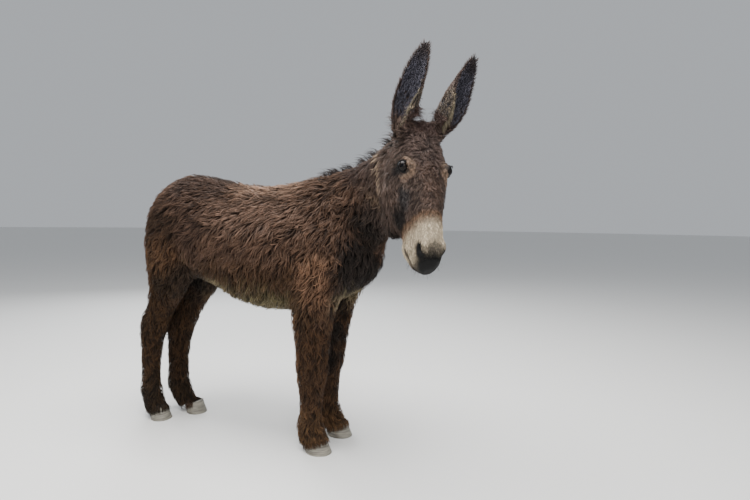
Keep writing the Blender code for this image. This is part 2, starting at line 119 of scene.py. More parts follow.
soft_light("overhead", (0.0, -0.6, 4.6), (0, 0, 0.8), 3.6, 480, (1.0, 0.98, 0.95))
soft_light("right_front", (3.0, -4.6, 3.0), (0.2, 0, 0.9), 2.2, 130, (1.0, 0.97, 0.93))
soft_light("behind", (-3.5, 3.5, 3.2), (0, 0, 0.9), 2.5, 140, (0.95, 0.98, 1.0))
world = bpy.data.worlds.new("studio")
world.use_nodes = True
world.node_tree.nodes["Background"].inputs["Color"].default_value = (0.86, 0.90, 0.95, 1)
world.node_tree.nodes["Background"].inputs["Strength"].default_value = 0.54
bpy.context.scene.world = world

bm = bmesh.new()
bmesh.ops.create_circle(bm, cap_ends=True, segments=96, radius=FLOOR_RADIUS)
floor = object_of(bm, "floor")
floor.data.materials.append(material_of("pale_floor", (0.74, 0.74, 0.73), 0.9))

# ---------------------------------------------------------------- lie of the coat
# How the hair lies all over the donkey: which way it points, how long it is, how far its tips stand off the
# skin, and how broad a tuft is. Each row is one place that a groomer would name, and the coat between them
# blends from one to the next.

# Places on the head are in percent of its length, from the poll: down the nose, leftwards and out of the
# forehead
HEAD_PERCENT = 0.585 / 100
EYE_PLACE = (35.0, 14.3, -5.8)
HEAD_TURN = (
    Matrix.Rotation(math.radians(-58.9), 3, "Z")
    @ Matrix.Rotation(math.radians(59.0), 3, "Y")
    @ Matrix.Rotation(math.radians(-8.0), 3, "X")
)
SIDES = (("right", -1), ("left", 1))
eyes_middle = (middle_of("eye_right") + middle_of("eye_left")) / 2
POLL = eyes_middle - HEAD_TURN @ Vector((EYE_PLACE[0], 0, EYE_PLACE[2])) * HEAD_PERCENT


def body_point(x, y, z):
    """A place on the body, from its percents."""
    return BODY_MIDDLE + Vector((x, y, z)) * PERCENT


def head_point(x, y, z):
    """A place on the head, from its percents."""
    return POLL + HEAD_TURN @ Vector((x, y, z)) * HEAD_PERCENT


def in_body(points):
    """Places in percent of the withers height, from the body's middle."""
    return (points - np.array(BODY_MIDDLE)) / PERCENT


def in_head(points):
    """Places in percent of the head's length, from the poll."""
    return (points - np.array(POLL)) @ np.array(HEAD_TURN) / HEAD_PERCENT


# (name, place in percent, pointing forwards/outwards/up, then in millimetres the length, the stand of the
# tips and the breadth of a tuft, then its scatter in degrees)
BODY_LIE = [
    ("withers", (27, 5, 98), (-1, 0.3, -0.6), 54, 16, 4.4, 14),
    ("back", (8, 4, 96), (-1, 0.2, -0.25), 50, 14, 4.4, 12),
    ("loin", (-16, 5, 98), (-1, 0.2, -0.25), 48, 13, 4.2, 12),
    ("croup", (-34, 6, 100), (-1, 0.25, -0.35), 44, 12, 4.2, 11),
    ("tail head", (-48, 4, 92), (-0.8, 0.1, -0.8), 46, 13, 4.0, 11),
    ("shoulder", (31, 14, 84), (-0.55, 0, -1), 64, 20, 4.8, 15),
    ("upper arm", (31, 14, 68), (-0.30, 0, -1), 62, 20, 4.8, 15),
    ("breast side", (40, 9, 74), (-0.15, 0, -1), 64, 20, 4.8, 14),
    ("breast", (46, 0, 72), (-0.1, 0, -1), 66, 22, 4.8, 14),
    ("between forelegs", (34, 0, 55), (-0.6, 0, -0.8), 50, 16, 4.6, 12),
    ("flank above", (6, 16, 87), (-0.80, 0, -0.75), 66, 19, 5.0, 14),
    ("flank", (2, 18, 72), (-0.50, 0, -1), 78, 23, 5.2, 15),
    ("flank below", (0, 14, 57), (-0.35, -0.2, -1), 80, 24, 5.2, 14),
    ("belly", (-4, 3, 50), (-0.8, 0, -0.6), 50, 18, 4.8, 12),
    ("hind flank above", (-20, 15, 87), (-0.85, 0, -0.65), 60, 17, 4.8, 13),
    ("hind flank", (-19, 16, 70), (-0.65, 0, -0.85), 70, 21, 5.0, 14),
    ("groin", (-25, 9, 57), (-0.6, 0, -1), 58, 18, 4.6, 13),
    ("haunch", (-38, 15, 87), (-0.80, 0, -0.80), 50, 14, 4.4, 11),
    ("thigh", (-38, 16, 71), (-0.50, 0, -1), 52, 15, 4.4, 13),
    ("stifle", (-29, 13, 62), (-0.40, 0, -1), 56, 16, 4.4, 13),
    ("buttock", (-50, 8, 81), (-0.15, 0, -1), 54, 16, 4.4, 13),
    ("breech", (-50, 5, 66), (0, 0, -1), 56, 16, 4.4, 13),
    ("inner thigh", (-38, 3, 62), (-0.2, 0, -1), 30, 8, 3.8, 10),
    ("gaskin", (-42, 11, 51), (-0.35, 0, -1), 52, 12, 4.2, 15),
    ("hock", (-50, 7, 38), (-0.15, 0, -1), 46, 10, 4.0, 15),
    ("hind cannon", (-51.5, 7, 24), (0, 0, -1), 46, 9, 3.8, 15),
    ("hind fetlock", (-52, 7, 13), (-0.1, 0, -1), 50, 11, 4.0, 17),
    ("hind pastern", (-50, 7, 8), (0.25, 0, -1), 56, 9.5, 3.8, 18),
    ("hind coronet", (-47, 7, 4.5), (0.35, 0, -1), 38, 6, 3.4, 18),
    ("elbow", (22, 12, 57), (-0.25, 0, -1), 54, 16, 4.6, 14),
    ("forearm", (27, 9, 44), (0, 0, -1), 54, 12, 4.2, 16),
    ("knee", (26, 9, 30), (0, 0, -1), 46, 9.5, 3.9, 16),
    ("fore cannon", (26, 9, 19), (0, 0, -1), 46, 9, 3.8, 15),
    ("fore fetlock", (25.5, 9, 12), (0, 0, -1), 50, 11, 4.0, 17),
    ("fore pastern", (26.5, 9, 7.5), (0.25, 0, -1), 54, 9.5, 3.8, 18),
    ("fore coronet", (28, 9, 4.5), (0.35, 0, -1), 38, 6, 3.4, 18),
]
# The bent neck and the tail, which aren't alike on both sides: the middle number is to the donkey's left
MIDDLE_LIE = [
    ("neck crest low", (38, -4, 102), (-0.7, 0, -0.7), 50, 15, 4.4, 16),
    ("neck crest high", (56, -12, 109), (-0.6, 0, -0.8), 44, 13, 4.2, 16),
    ("neck right low", (40, -12, 88), (-0.55, 0, -1), 66, 20, 4.8, 15),
    ("neck right high", (52, -16, 98), (-0.60, 0, -1), 60, 18, 4.6, 15),
    ("neck left low", (42, 4, 88), (-0.55, 0, -1), 66, 20, 4.8, 15),
    ("neck left high", (56, -4, 98), (-0.60, 0, -1), 60, 18, 4.6, 15),
    ("throat", (56, -9, 88), (-0.5, 0, -1), 62, 19, 4.6, 14),
    ("dock", (-52, 0.5, 86), (-0.05, 0, -1), 60, 13, 4.2, 10),
    ("dock end", (-52.3, 1.4, 64), (0, 0, -1), 80, 18, 4.4, 10),
    ("switch", (-52.4, 1.6, 48), (0, 0, -1), 120, 24, 4.6, 8),
]
# The same in percent of the head: pointing down the nose, outwards and out of the forehead
HEAD_LIE = [
    ("poll", (0, 4, 0), (-0.6, 0.6, 0.4), 34, 11, 2.7, 34),
    ("upper forehead", (11, 4, 3.5), (-0.8, 0.8, 0), 28, 10, 2.5, 38),
    ("whorl", (22, 6, 3.5), (0.1, 1, -0.2), 26, 9, 2.4, 36),
    ("forehead", (34, 3, 2.5), (1, 0.5, 0), 24, 8, 2.4, 34),
    ("nose bridge", (51, 3, 0.5), (1, 0.35, 0), 21, 6, 2.2, 24),
    ("nose", (65, 3, -1.5), (1, 0.20, 0), 16, 4.5, 2.0, 20),
    ("muzzle top", (79, 3, -3.5), (1, 0.3, -0.1), 8, 2.0, 1.7, 14),
    ("muzzle side", (82, 9.5, -20), (0.9, 0, -0.5), 9, 2.0, 1.7, 12),
    ("lips", (97, 4, -20), (0.2, 0, -1), 5, 1.2, 1.4, 10),
    ("chin", (84, 5, -38), (0.8, 0, -0.6), 14, 3.2, 1.8, 16),
    ("nose side", (60, 12, -15), (0.9, 0.1, -0.45), 22, 6, 2.4, 16),
    ("under the eye", (47, 13, -9), (0.95, 0.1, -0.35), 16, 4, 2.2, 14),
    ("front of the cheek", (47, 17, -24), (0.85, 0, -0.55), 42, 11, 3.1, 15),
    ("cheek", (32, 20, -27), (0.75, 0.1, -0.70), 52, 14, 3.5, 15),
    ("back of the cheek", (17, 18, -40), (0.70, 0.2, -0.75), 58, 17, 3.7, 14),
    ("jaw corner", (30, 15, -53), (0.85, 0, -0.55), 66, 20, 3.9, 15),
    ("jaw", (50, 12, -50), (0.90, 0, -0.45), 66, 20, 3.9, 15),
    ("jaw end", (66, 9, -43), (0.95, 0, -0.35), 32, 9, 3.2, 14),
    ("between the jaws", (40, 0, -54), (0.86, 0, -0.5), 46, 14, 4.0, 12),
    ("temple", (17, 15, -9), (0.4, 0.5, -0.9), 36, 11, 2.9, 24),
    ("brow", (27, 12, -1), (0.2, 1, -0.4), 16, 5, 2.1, 20),
    ("behind the eye", (29, 18, -13), (0.35, 0.2, -0.9), 20, 6, 2.4, 16),
    ("inner eye corner", (42, 12, -3), (0.9, 0.3, -0.2), 14, 4, 2.0, 16),
    ("ear base", (3, 15, -6), (-0.7, 0.3, 0.4), 32, 9, 3.0, 24),
]
# Where each ear starts in the head, in percent of the head, which way it points, how far its mouth is turned
# outwards from straight ahead, and how long it is and how deep its root lies, in metres
EAR_ROOT = {-1: (5.0, -13.2, -5.5), 1: (3.0, 10.8, -4.5)}
EAR_AXIS = {-1: Vector((-0.80, 0.172, 0.58)), 1: Vector((-0.76, 0.42, 0.51))}
EAR_TURN = {-1: math.radians(38), 1: math.radians(21)}
EAR_LENGTH = {-1: 0.34, 1: 0.33}
EAR_SINK = 0.045
# (share of the ear's length, then the hair as above)
EAR_LIE = [(0.25, 26, 5.0, 2.6, 20), (0.6, 19, 4.0, 2.3, 22), (0.95, 15, 3.6, 1.9, 26)]


def unit(vectors):
    """Vectors, each made one long."""
    return vectors / np.maximum(np.linalg.norm(vectors, axis=-1, keepdims=True), 1e-12)


def lie_rows():
    """Every row of the tables above as its place, its direction and the four numbers of its hair."""
    rows = []
    for _, (x, y, z), (forwards, outwards, up), *hair in BODY_LIE:
        for _, side in SIDES:
            rows.append((body_point(x, side * y, z), Vector((forwards, side * outwards, up)), *hair))
    for _, place, direction, *hair in MIDDLE_LIE:
        rows.append((body_point(*place), Vector(direction), *hair))
    for _, (x, y, z), (down, outwards, out), *hair in HEAD_LIE:
        for _, side in SIDES:
            rows.append((head_point(x, side * y, z), HEAD_TURN @ Vector((down, side * outwards, out)), *hair))
    for _, side in SIDES:
        axis = HEAD_TURN @ EAR_AXIS[side].normalized()
        for share, *hair in EAR_LIE:
            rows.append((head_point(*EAR_ROOT[side]) + axis * EAR_LENGTH[side] * share, axis, *hair))
    return rows


LIE = lie_rows()
LIE_PLACES = np.array([place for place, *_ in LIE])
LIE_DIRECTIONS = unit(np.array([direction for _, direction, *_ in LIE]))
LIE_HAIR = np.array([hair for _, _, *hair in LIE]) * (0.001, 0.001, 0.001, math.pi / 180)
POINTS_AT_ONCE = 20000


def lie_of_coat(points):
    """The hair's direction, and its length, stand, breadth and scatter, at points."""
    directions, hair = np.zeros((len(points), 3)), np.zeros((len(points), 4))
    for start in range(0, len(points), POINTS_AT_ONCE):
        part = slice(start, start + POINTS_AT_ONCE)
        reach = ((points[part, None, :] - LIE_PLACES) ** 2).sum(2)
        share = 1 / (reach**2 + 1e-9)
        share /= share.sum(1, keepdims=True)
        directions[part] = share @ LIE_DIRECTIONS
        hair[part] = share @ LIE_HAIR
    return unit(directions), *hair.T


# ---------------------------------------------------------------- skin
# One hide over the whole donkey, from the muzzle to the tail and the coronets, fused out of all the flesh. It
# lies inside the coat by the depth that the hair stands, and keeps the hollows of the nostrils.

LEGS = [f"leg_{leg}_{word}" for leg in ("fore", "hind") for word, _ in SIDES]
FLESH = ["trunk", "neck", "head", "muzzle", "tail", "ear_right", "ear_left", *LEGS]
CUT_OVERLAP = 0.0007
SKIN_VOXEL = 0.0036
# How much of the smoothing each piece of flesh takes, and the hide up to a height over the tops of the hooves
SOFTNESS = {"trunk": 1.0, "neck": 0.9, "head": 0.25, "muzzle": 0.12, "tail": 0.15}
SOFTNESS |= {"ear_right": 0.06, "ear_left": 0.06, **dict.fromkeys(LEGS, 0.3)}
CORONET_HEIGHT, CORONET_SOFTNESS = 0.015, 0.03
# The nodes whose hide keeps all its faces, and the share of the faces that the rest of it keeps
FULL_DETAIL = ("head", "muzzle", "ear_right", "ear_left")
BODY_FACES_KEPT = 0.27


def vertex_places(mesh):
    """A mesh's vertices, as rows of three numbers."""
    places = np.empty(len(mesh.vertices) * 3, np.float32)
    mesh.vertices.foreach_get("co", places)
    return places.reshape(-1, 3).astype(float)


def vertex_normals(mesh):
    """The ways that a mesh faces at its vertices, as rows of three numbers."""
    normals = np.empty(len(mesh.vertices) * 3, np.float32)
    mesh.vertex_normals.foreach_get("vector", normals)
    return normals.reshape(-1, 3).astype(float)


def put_vertices(mesh, places):
    """Moves a mesh's vertices to places."""
    mesh.vertices.foreach_set("co", places.astype(np.float32).ravel())
    mesh.update()


def evaluated_mesh(obj):
    """A new mesh of an object with its modifiers applied."""
    return bpy.data.meshes.new_from_object(obj.evaluated_get(bpy.context.evaluated_depsgraph_get()))


def replace_mesh(obj, mesh):
    """Puts a finished mesh on an object and clears its modifiers."""
    obj.modifiers.clear()
    old = obj.data
    obj.data = mesh
    bpy.data.meshes.remove(old)


def merged_flesh(overlap):
    """The nodes of flesh in one bmesh, with the node's number on each face."""
    bm = bmesh.new()
    owner = bm.faces.layers.int.new("owner")
    for number, node in enumerate(FLESH):
        done = len(bm.faces)
        bm.from_mesh(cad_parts[node].data)
        bm.faces.ensure_lookup_table()
        for face in bm.faces[done:]:
            face[owner] = number
    bmesh.ops.remove_doubles(bm, verts=bm.verts[:], dist=1e-5)
    bm.normal_update()
    moves = [vert.normal * overlap for vert in bm.verts]
    for vert, move in zip(bm.verts, moves):
        vert.co += move
    return bm


bm = merged_flesh(0)
owner_layer = bm.faces.layers.int["owner"]
flesh_tree = BVHTree.FromBMesh(bm)
bm.faces.ensure_lookup_table()
FACE_OWNERS = [face[owner_layer] for face in bm.faces]
bm.free()


def owners_of(points):
    """The number of the node of flesh nearest to each point."""
    return np.array([FACE_OWNERS[flesh_tree.find_nearest(Vector(point))[2]] for point in points])


skin = object_of(merged_flesh(CUT_OVERLAP), "skin")
fuse = skin.modifiers.new("Fuse", "REMESH")
fuse.mode = "VOXEL"
fuse.voxel_size = SKIN_VOXEL
replace_mesh(skin, evaluated_mesh(skin))
skin_owners = owners_of(vertex_places(skin.data))
soft = skin.vertex_groups.new(name="soft")
for number, node in enumerate(FLESH):
    indices = np.flatnonzero(skin_owners == number).tolist()
    soft.add(indices, SOFTNESS[node], "REPLACE")
coronet_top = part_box("hoof_fore_right")[1].z + CORONET_HEIGHT
coronets = np.flatnonzero(vertex_places(skin.data)[:, 2] < coronet_top).tolist()
soft.add(coronets, CORONET_SOFTNESS, "REPLACE")
smooth = skin.modifiers.new("Smooth", "SMOOTH")
smooth.factor = 0.6
smooth.iterations = 90
smooth.vertex_group = "soft"
replace_mesh(skin, evaluated_mesh(skin))
places, normals = vertex_places(skin.data), vertex_normals(skin.data)
_, _, stand, _, _ = lie_of_coat(places)
put_vertices(skin.data, places - normals * stand[:, None])

# The biggest body is the hide; bubbles that the fusing leaves inside it go
bm = bmesh.new()
bm.from_mesh(skin.data)
unseen, islands = set(bm.verts), []
while unseen:
    stack, island = [unseen.pop()], []
    while stack:
        vert = stack.pop()
        island.append(vert)
        for edge in vert.link_edges:
            other = edge.other_vert(vert)
            if other in unseen:
                unseen.remove(other)
                stack.append(other)
    islands.append(island)
islands.sort(key=len)
for island in islands[:-1]:
    bmesh.ops.delete(bm, geom=island, context="VERTS")
bm.to_mesh(skin.data)
bm.free()

# The body's faces are thinned out, as the coat hides them; the head and ears keep theirs
body_numbers = [number for number, node in enumerate(FLESH) if node not in FULL_DETAIL]
thinned = skin.vertex_groups.new(name="thinned")
thinned.add(np.flatnonzero(np.isin(owners_of(vertex_places(skin.data)), body_numbers)).tolist(), 1, "REPLACE")
thin = skin.modifiers.new("Thin", "DECIMATE")
thin.ratio = BODY_FACES_KEPT
thin.vertex_group = "thinned"
replace_mesh(skin, evaluated_mesh(skin))
skin.vertex_groups.clear()

# Skin and coat take their colours from one table of markings, laid over the brown of the body in this order.
# Most are the coat's own colours; a few are painted shade or a painted highlight, as their comments say. Each
# has its middle and its radii in percent, and its colour as seen in soft daylight, 0 to 255.
BROWN = (77, 59, 48)
BODY_MARKS = [
    # Painted highlight: the top of the back is lighter, where the light from overhead falls on it
    ("back", (5, 0, 97), (19, 12, 8.5), (124, 101, 86)),
    ("loin", (-21, 8, 98), (13, 11, 10), (66, 52, 45)),
    ("croup", (-40, 6, 101), (10, 9, 8), (84, 67, 58)),
    ("flank above", (8, 16, 86), (30, 8, 7), (92, 73, 62)),
    ("loin shadow", (-22, 12, 84), (7, 14, 12), (66, 50, 41)),
    ("lower barrel", (0, 14, 62), (34, 12, 8), (64, 47, 33)),
    ("upper arm", (30, 14, 64), (8, 9, 10), (94, 71, 55)),
    ("dorsal stripe", (-4, 0, 104), (60, 2.4, 12), (44, 34, 28)),
    ("haunch", (-38, 15, 80), (11, 10, 8), (52, 38, 28)),
    # Partly painted shade: the dark hair of the breast, under the chest and between the forelegs is darkened
    # further, where the chest is out of the light
    ("under the chest", (42, 0, 64), (13, 12, 10), (23, 20, 18)),
    ("breast side", (43.5, 8, 70), (7.5, 8, 10), (32, 26, 23)),
    ("between the forelegs", (26, 0, 54), (14, 9, 10), (28, 24, 21)),
    ("pale brisket", (37.5, 0, 56), (9, 11, 5.5), (106, 97, 76)),
    ("pale belly", (2, 0, 50), (25, 28, 11.5), (92, 84, 60)),
    ("pale flank fold", (-18, 0, 55), (12, 26, 8.5), (98, 89, 66)),
    ("pale groin", (-25, 0, 54), (9, 12, 7), (92, 84, 64)),
    ("fold of the flank", (-26.5, 15, 63), (2.2, 7, 7), (100, 86, 64)),
    ("thigh", (-39, 15, 60), (12, 12, 9), (40, 29, 18)),
    ("rusty thigh", (-38, 15, 70), (9, 8, 7), (75, 55, 39)),
    ("rusty breech", (-48.5, 12, 64), (5.5, 8, 24), (72, 51, 34)),
    # Painted shade on the inner thigh, where the legs shade each other
    ("inner thigh", (-38, 0, 60), (14, 6.5, 16), (26, 22, 19)),
    ("stifle", (-28, 12, 60), (7, 8, 9), (46, 35, 26)),
    ("hind leg", (-45, 7, 34), (16, 13, 24), (47, 32, 18)),
    ("hind foot", (-50, 7, 8), (12, 10, 9), (38, 28, 17)),
    ("foreleg", (26, 8, 34), (13, 11, 26), (56, 39, 25)),
    ("rusty back of the foreleg", (21, 8, 38), (3.5, 8, 20), (78, 56, 39)),
    # Painted shade on the inside of the foreleg, where the legs shade each other
    ("inside of the foreleg", (26, 4, 42), (7, 4.0, 18), (30, 24, 20)),
    ("fore foot", (27, 9, 8), (9, 8, 9), (72, 53, 35)),
]
MIDDLE_MARKS = [
    # Partly painted shade: the dark hair under the neck is darkened further, where the neck keeps the light
    # off it
    ("under the neck", (57, -10, 84), (15, 10, 10), (22, 19, 17)),
    ("upper neck", (49, -10, 104), (15, 9, 8), (62, 49, 44)),
    ("neck crest", (50, -9, 107), (18, 4, 4), (48, 38, 35)),
    ("tail", (-52.3, 1.2, 60), (6, 5, 34), (48, 36, 27)),
]
HEAD_MARKS = [
    ("head", (45, 0, -25), (80, 34, 50), (76, 64, 58)),
    # Painted highlight: a light edge down the back of the cheek, where its long hair catches the light
    ("painted highlight behind the cheek", (12, 19.5, -39.4), (16, 6, 2.5), (158, 139, 119)),
    ("forehead", (22, 0, 4), (24, 18, 10), (80, 67, 62)),
    ("nose bridge", (54, 0, 2), (17, 8, 6), (86, 70, 62)),
    ("grey below the eye", (53, 13.5, -13), (9, 5, 6), (62, 58, 58)),
    # Partly painted shade at the front of the cheek, by the corner of the mouth, over its darker hair
    ("dark front of the cheek", (60, 12, -25), (9, 8, 8), (34, 31, 30)),
    # Partly painted shade under the jaw, over the dark hair that hangs there
    ("jaw fringe", (46, 0, -51), (32, 19, 15), (36, 31, 28)),
    ("band under the cheek", (32, 17, -57), (18, 8, 4), (112, 95, 80)),
    ("eye ring", (36.2, 14.2, -4.0), (6.5, 8.0, 6.4), (128, 109, 94)),
    ("lids", (35.3, 14.0, -5.6), (5.0, 7, 5.0), (56, 47, 43)),
    # Partly painted shade at the outer corner of the eye, over its dark lid skin
    ("behind the eye", (33, 18.5, -11), (4.5, 6, 4.5), (32, 27, 26)),
    ("streak below the eye", (44.5, 13.5, -9.0), (5.5, 4, 2.4), (104, 90, 82)),
    ("rust halo", (72, 0, -18), (5.0, 24, 44), (104, 82, 66)),
    ("pale muzzle", (86, 0, -20), (13.5, 24, 44), (186, 172, 150)),
    ("grey over the lip", (92, 0, -9), (5, 6, 6), (112, 104, 92)),
    ("chin", (82, 0, -41), (10, 9, 6), (96, 86, 76)),
    # Partly painted shade, in the hollow of the nostril, over its dark skin
    ("nostril", (91.5, 7.0, -12.5), (7, 3.8, 4.8), (18, 16, 16)),
    ("upper lip", (102, 0, -16), (10.5, 12.5, 14), (15, 15, 15)),
    ("lips", (98, 0, -32), (11, 11, 8), (24, 22, 21)),
    ("mouth line", (86, 9, -29), (9, 4, 1.2), (60, 54, 50)),
]
EAR_INSIDE = (67, 67, 77)
EAR_OUTSIDE = (68, 55, 50)
EAR_FLAP = (76, 69, 62)
EAR_TIP = (46, 38, 36)
EAR_MARGIN = (126, 115, 98)
# Shares of an ear's length, and there its radius, and how far it wraps round from the middle of its back to
# its outer edge and to its inner one, in degrees
EAR_SHARES = (0.0, 0.15, 0.30, 0.40, 0.50, 0.70, 0.85, 0.95, 1.0)
EAR_RADII = {
    -1: (0.014, 0.034, 0.044, 0.045, 0.046, 0.040, 0.030, 0.018, 0.006),
    1: (0.018, 0.035, 0.047, 0.054, 0.056, 0.046, 0.034, 0.020, 0.007),
}
EAR_OUTER = (165, 148, 122, 110, 98, 85, 75, 65, 60)
EAR_INNER = {-1: (165, 150, 132, 134, 104, 85, 75, 65, 60), 1: (165, 150, 150, 138, 116, 86, 75, 65, 60)}


def linear(color):
    """Colours of 0 to 255 as light."""
    share = np.asarray(color, float) / 255
    return np.where(share < 0.04045, share / 12.92, ((share + 0.055) / 1.055) ** 2.4)


def waves(points, size, seed):
    """A smooth uneven field from about -1 to 1, with waves of the given size."""
    rng = np.random.default_rng(seed)
    turns = unit(rng.normal(size=(10, 3))) * (2 * math.pi / size) * rng.uniform(0.6, 1.7, (10, 1))
    return np.sin(points @ turns.T + rng.uniform(0, 6.28, 10)).sum(1) / 3.2


def smooth_step(values):
    """A soft step from 0 to 1."""
    values = np.clip(values, 0, 1)
    return values * values * (3 - 2 * values)


def mirrored(places):
    """Places with those on the donkey's right laid over its left."""
    return np.column_stack((places[:, 0], np.abs(places[:, 1]), places[:, 2]))


def reach_from(places, center, radii):
    """How far places are from a center: 0 there, and 1 on the ellipsoid of these radii."""
    return np.linalg.norm((places - center) / radii, axis=1)


def mark(places, center, radii):
    """How much of a marking shows: 1 in its middle, fading about its edge."""
    return smooth_step((1.35 - reach_from(places, center, radii)) / 0.7)


def ear_frame(side):
    """The root of an ear, and the ways that it points, opens, and faces the other ear."""
    axis = (HEAD_TURN @ EAR_AXIS[side]).normalized()
    ahead = HEAD_TURN @ Vector((0.68, 0, 0.73))
    ahead = (ahead - axis * ahead.dot(axis)).normalized()
    outwards = axis.cross(ahead) * side
    opening = ahead * math.cos(EAR_TURN[side]) + outwards * math.sin(EAR_TURN[side])
    root = head_point(*EAR_ROOT[side]) - axis * EAR_SINK
    return [np.array(part) for part in (root, axis, opening, opening.cross(axis) * side, outwards)]


def ear_middles(side, shares):
    """Places up an ear, on the line that it is rolled round, with its radii there."""
    root, axis, opening, _, outwards = ear_frame(side)
    radii = np.interp(shares, EAR_SHARES, EAR_RADII[side])[:, None]
    bow = np.sin(math.pi * shares)[:, None] * (outwards * 0.009 - opening * 0.012)
    return root + axis * shares[:, None] * (EAR_LENGTH[side] + EAR_SINK) + bow + opening * radii / 2, radii


def ear_wraps(side, shares, around):
    """Angles from the middle of an ear's back to its edge, the outer one or, above 0, the inner one."""
    outer = np.radians(np.interp(shares, EAR_SHARES, EAR_OUTER))
    inner = np.radians(np.interp(shares, EAR_SHARES, EAR_INNER[side]))
    return np.where(around > 0, inner, outer)


def ear_colors(points, normals, colors, side):
    """Colours, with the ear's own: dark inside and at the tip, and cream along its folded inner edge."""
    root, axis, opening, inwards, _ = ear_frame(side)
    shares = (points - root) @ axis / (EAR_LENGTH[side] + EAR_SINK)
    out = points - ear_middles(side, shares)[0]
    turns = np.arctan2(out @ inwards, -(out @ opening))
    around = turns / ear_wraps(side, shares, turns)
    inside = smooth_step(0.5 - 2.5 * (normals * unit(out)).sum(1))
    ragged = 0.035 * waves(points, 0.025, 6)
    tip = smooth_step((shares - 0.74) / 0.2)
    low = smooth_step((0.58 + ragged - shares) / 0.10)
    margin = smooth_step((around + ragged - 0.92) / 0.05) * low
    flap = (1 - inside) * smooth_step((around + ragged - 0.40) / 0.3) * low
    edge = smooth_step((np.abs(around) + ragged - 0.90) / 0.10) * (1 - margin)
    painted = np.tile(linear(EAR_OUTSIDE), (len(points), 1))
    layers = ((flap, EAR_FLAP), (inside * (1 - edge), EAR_INSIDE), (tip * 0.8, EAR_TIP), (margin, EAR_MARGIN))
    for share, color in layers:
        painted = painted * (1 - share[:, None]) + linear(color) * share[:, None]
    near = smooth_step((shares - 0.16) / 0.10) * smooth_step((0.090 - np.linalg.norm(out, axis=1)) / 0.01)
    return colors * (1 - near[:, None]) + painted * near[:, None]


def markings(points, normals):
    """The colour of skin and coat at points, as light."""
    body, head = in_body(points), in_head(points)
    ragged = 0.5 * waves(points, 0.11, 3) + 0.35 * waves(points, 0.035, 4) + 0.25 * waves(points, 0.013, 7)
    ragged = ragged[:, None]
    colors = np.tile(linear(BROWN), (len(points), 1))
    tables = ((mirrored(body), BODY_MARKS, 2.2), (body, MIDDLE_MARKS, 1.2), (mirrored(head), HEAD_MARKS, 1.3))
    for places, marks, give in tables:
        for _, center, radii, color in marks:
            share = mark(places + ragged * give, center, radii)[:, None]
            colors = colors * (1 - share) + linear(color) * share
    for _, side in SIDES:
        colors = ear_colors(points, normals, colors, side)
    return colors


def paint(mesh, colors):
    """Stores a colour for each vertex, which the materials read."""
    layer = mesh.color_attributes.new("hair_color", "FLOAT_COLOR", "POINT")
    opaque = np.column_stack((colors, np.ones(len(colors)))).astype(np.float32)
    layer.data.foreach_set("color", opaque.ravel())


def hair_material(name, roughness, bump=0):
    """A dull material that takes its colour from the mesh, and may have a fine bump of short hairs."""
    made = material_of(name, (1, 1, 1), roughness)
    nodes, links = made.node_tree.nodes, made.node_tree.links
    shader = nodes["Principled BSDF"]
    shader.inputs["Specular IOR Level"].default_value = 0.2
    color = nodes.new("ShaderNodeAttribute")
    color.attribute_name = "hair_color"
    links.new(color.outputs["Color"], shader.inputs["Base Color"])
    if bump:
        place = nodes.new("ShaderNodeTexCoord")
        noise = nodes.new("ShaderNodeTexNoise")
        noise.inputs["Scale"].default_value = 420
        noise.inputs["Detail"].default_value = 3
        height = nodes.new("ShaderNodeBump")
        height.inputs["Strength"].default_value = bump
        height.inputs["Distance"].default_value = 0.001
        links.new(place.outputs["Object"], noise.inputs["Vector"])
        links.new(noise.outputs["Fac"], height.inputs["Height"])
        links.new(height.outputs["Normal"], shader.inputs["Normal"])
    return made


HIDE = hair_material("hide", 0.75, 0.6)
WET_SKIN = (20, 18, 18)


def finish_hide(obj, wet=0):
    """Colours a piece of skin, with painted shade that is darker the deeper the hair over it, and black where
    it is wet.
    """
    mesh = obj.data
    mesh.shade_smooth()
    places = vertex_places(mesh)
    _, _, stand, _, _ = lie_of_coat(places)
    # Painted shade: the hide is darkened overall, and most under the deepest hair
    shade = 0.75 - 0.32 * smooth_step(stand / 0.010)
    colors = markings(places, vertex_normals(mesh)) * shade[:, None]
    paint(mesh, colors * (1 - wet) + linear(WET_SKIN) * wet)
    mesh.materials.clear()
    mesh.materials.append(HIDE)
    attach(obj, "root")


finish_hide(skin)
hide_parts(*FLESH)

# ---------------------------------------------------------------- eyes
# Each eye is a dark wet ball of glass, set as deep as a real one, with a brown iris and the donkey's long
# level pupil behind a clear bulge.

EYE_RADIUS = 0.024
# Degrees from the middle of the iris to its edge and to the end of the dark ring round it
IRIS_ANGLE, RING_ANGLE = 40, 66
PUPIL_COLOR, IRIS_COLOR, RING_COLOR, WHITE_COLOR = (7, 8, 11), (24, 19, 17), (14, 12, 12), (74, 66, 62)
# The pupil's long and short radii, in radii of the ball
PUPIL_LONG, PUPIL_SHORT = 0.40, 0.20
BULGE = 0.045
# The ways that the eyes look. The gaze is turned a little to the donkey's left, so the right eye looks
# further out of the forehead than the left one.
LOOK = {-1: Vector((0.40, -0.64, 0.655)).normalized(), 1: Vector((0.36, 0.82, 0.44)).normalized()}


def level_turn(direction, up):
    """A turn whose third column is the direction and whose second is as near up as it can be."""
    direction = direction.normalized()
    right = up.cross(direction).normalized()
    return Matrix((right, direction.cross(right), direction)).transposed()


def eye_material():
    """Dark wet glass, with the colours of iris and pupil from the mesh."""
    made = material_of("eye", (0.01, 0.008, 0.007), 0.14)
    nodes, links = made.node_tree.nodes, made.node_tree.links
    shader = nodes["Principled BSDF"]
    shader.inputs["Coat Weight"].default_value = 0.02
    shader.inputs["Coat Roughness"].default_value = 0.04
    shader.inputs["Specular IOR Level"].default_value = 0.13
    color = nodes.new("ShaderNodeAttribute")
    color.attribute_name = "hair_color"
    links.new(color.outputs["Color"], shader.inputs["Base Color"])
    return made


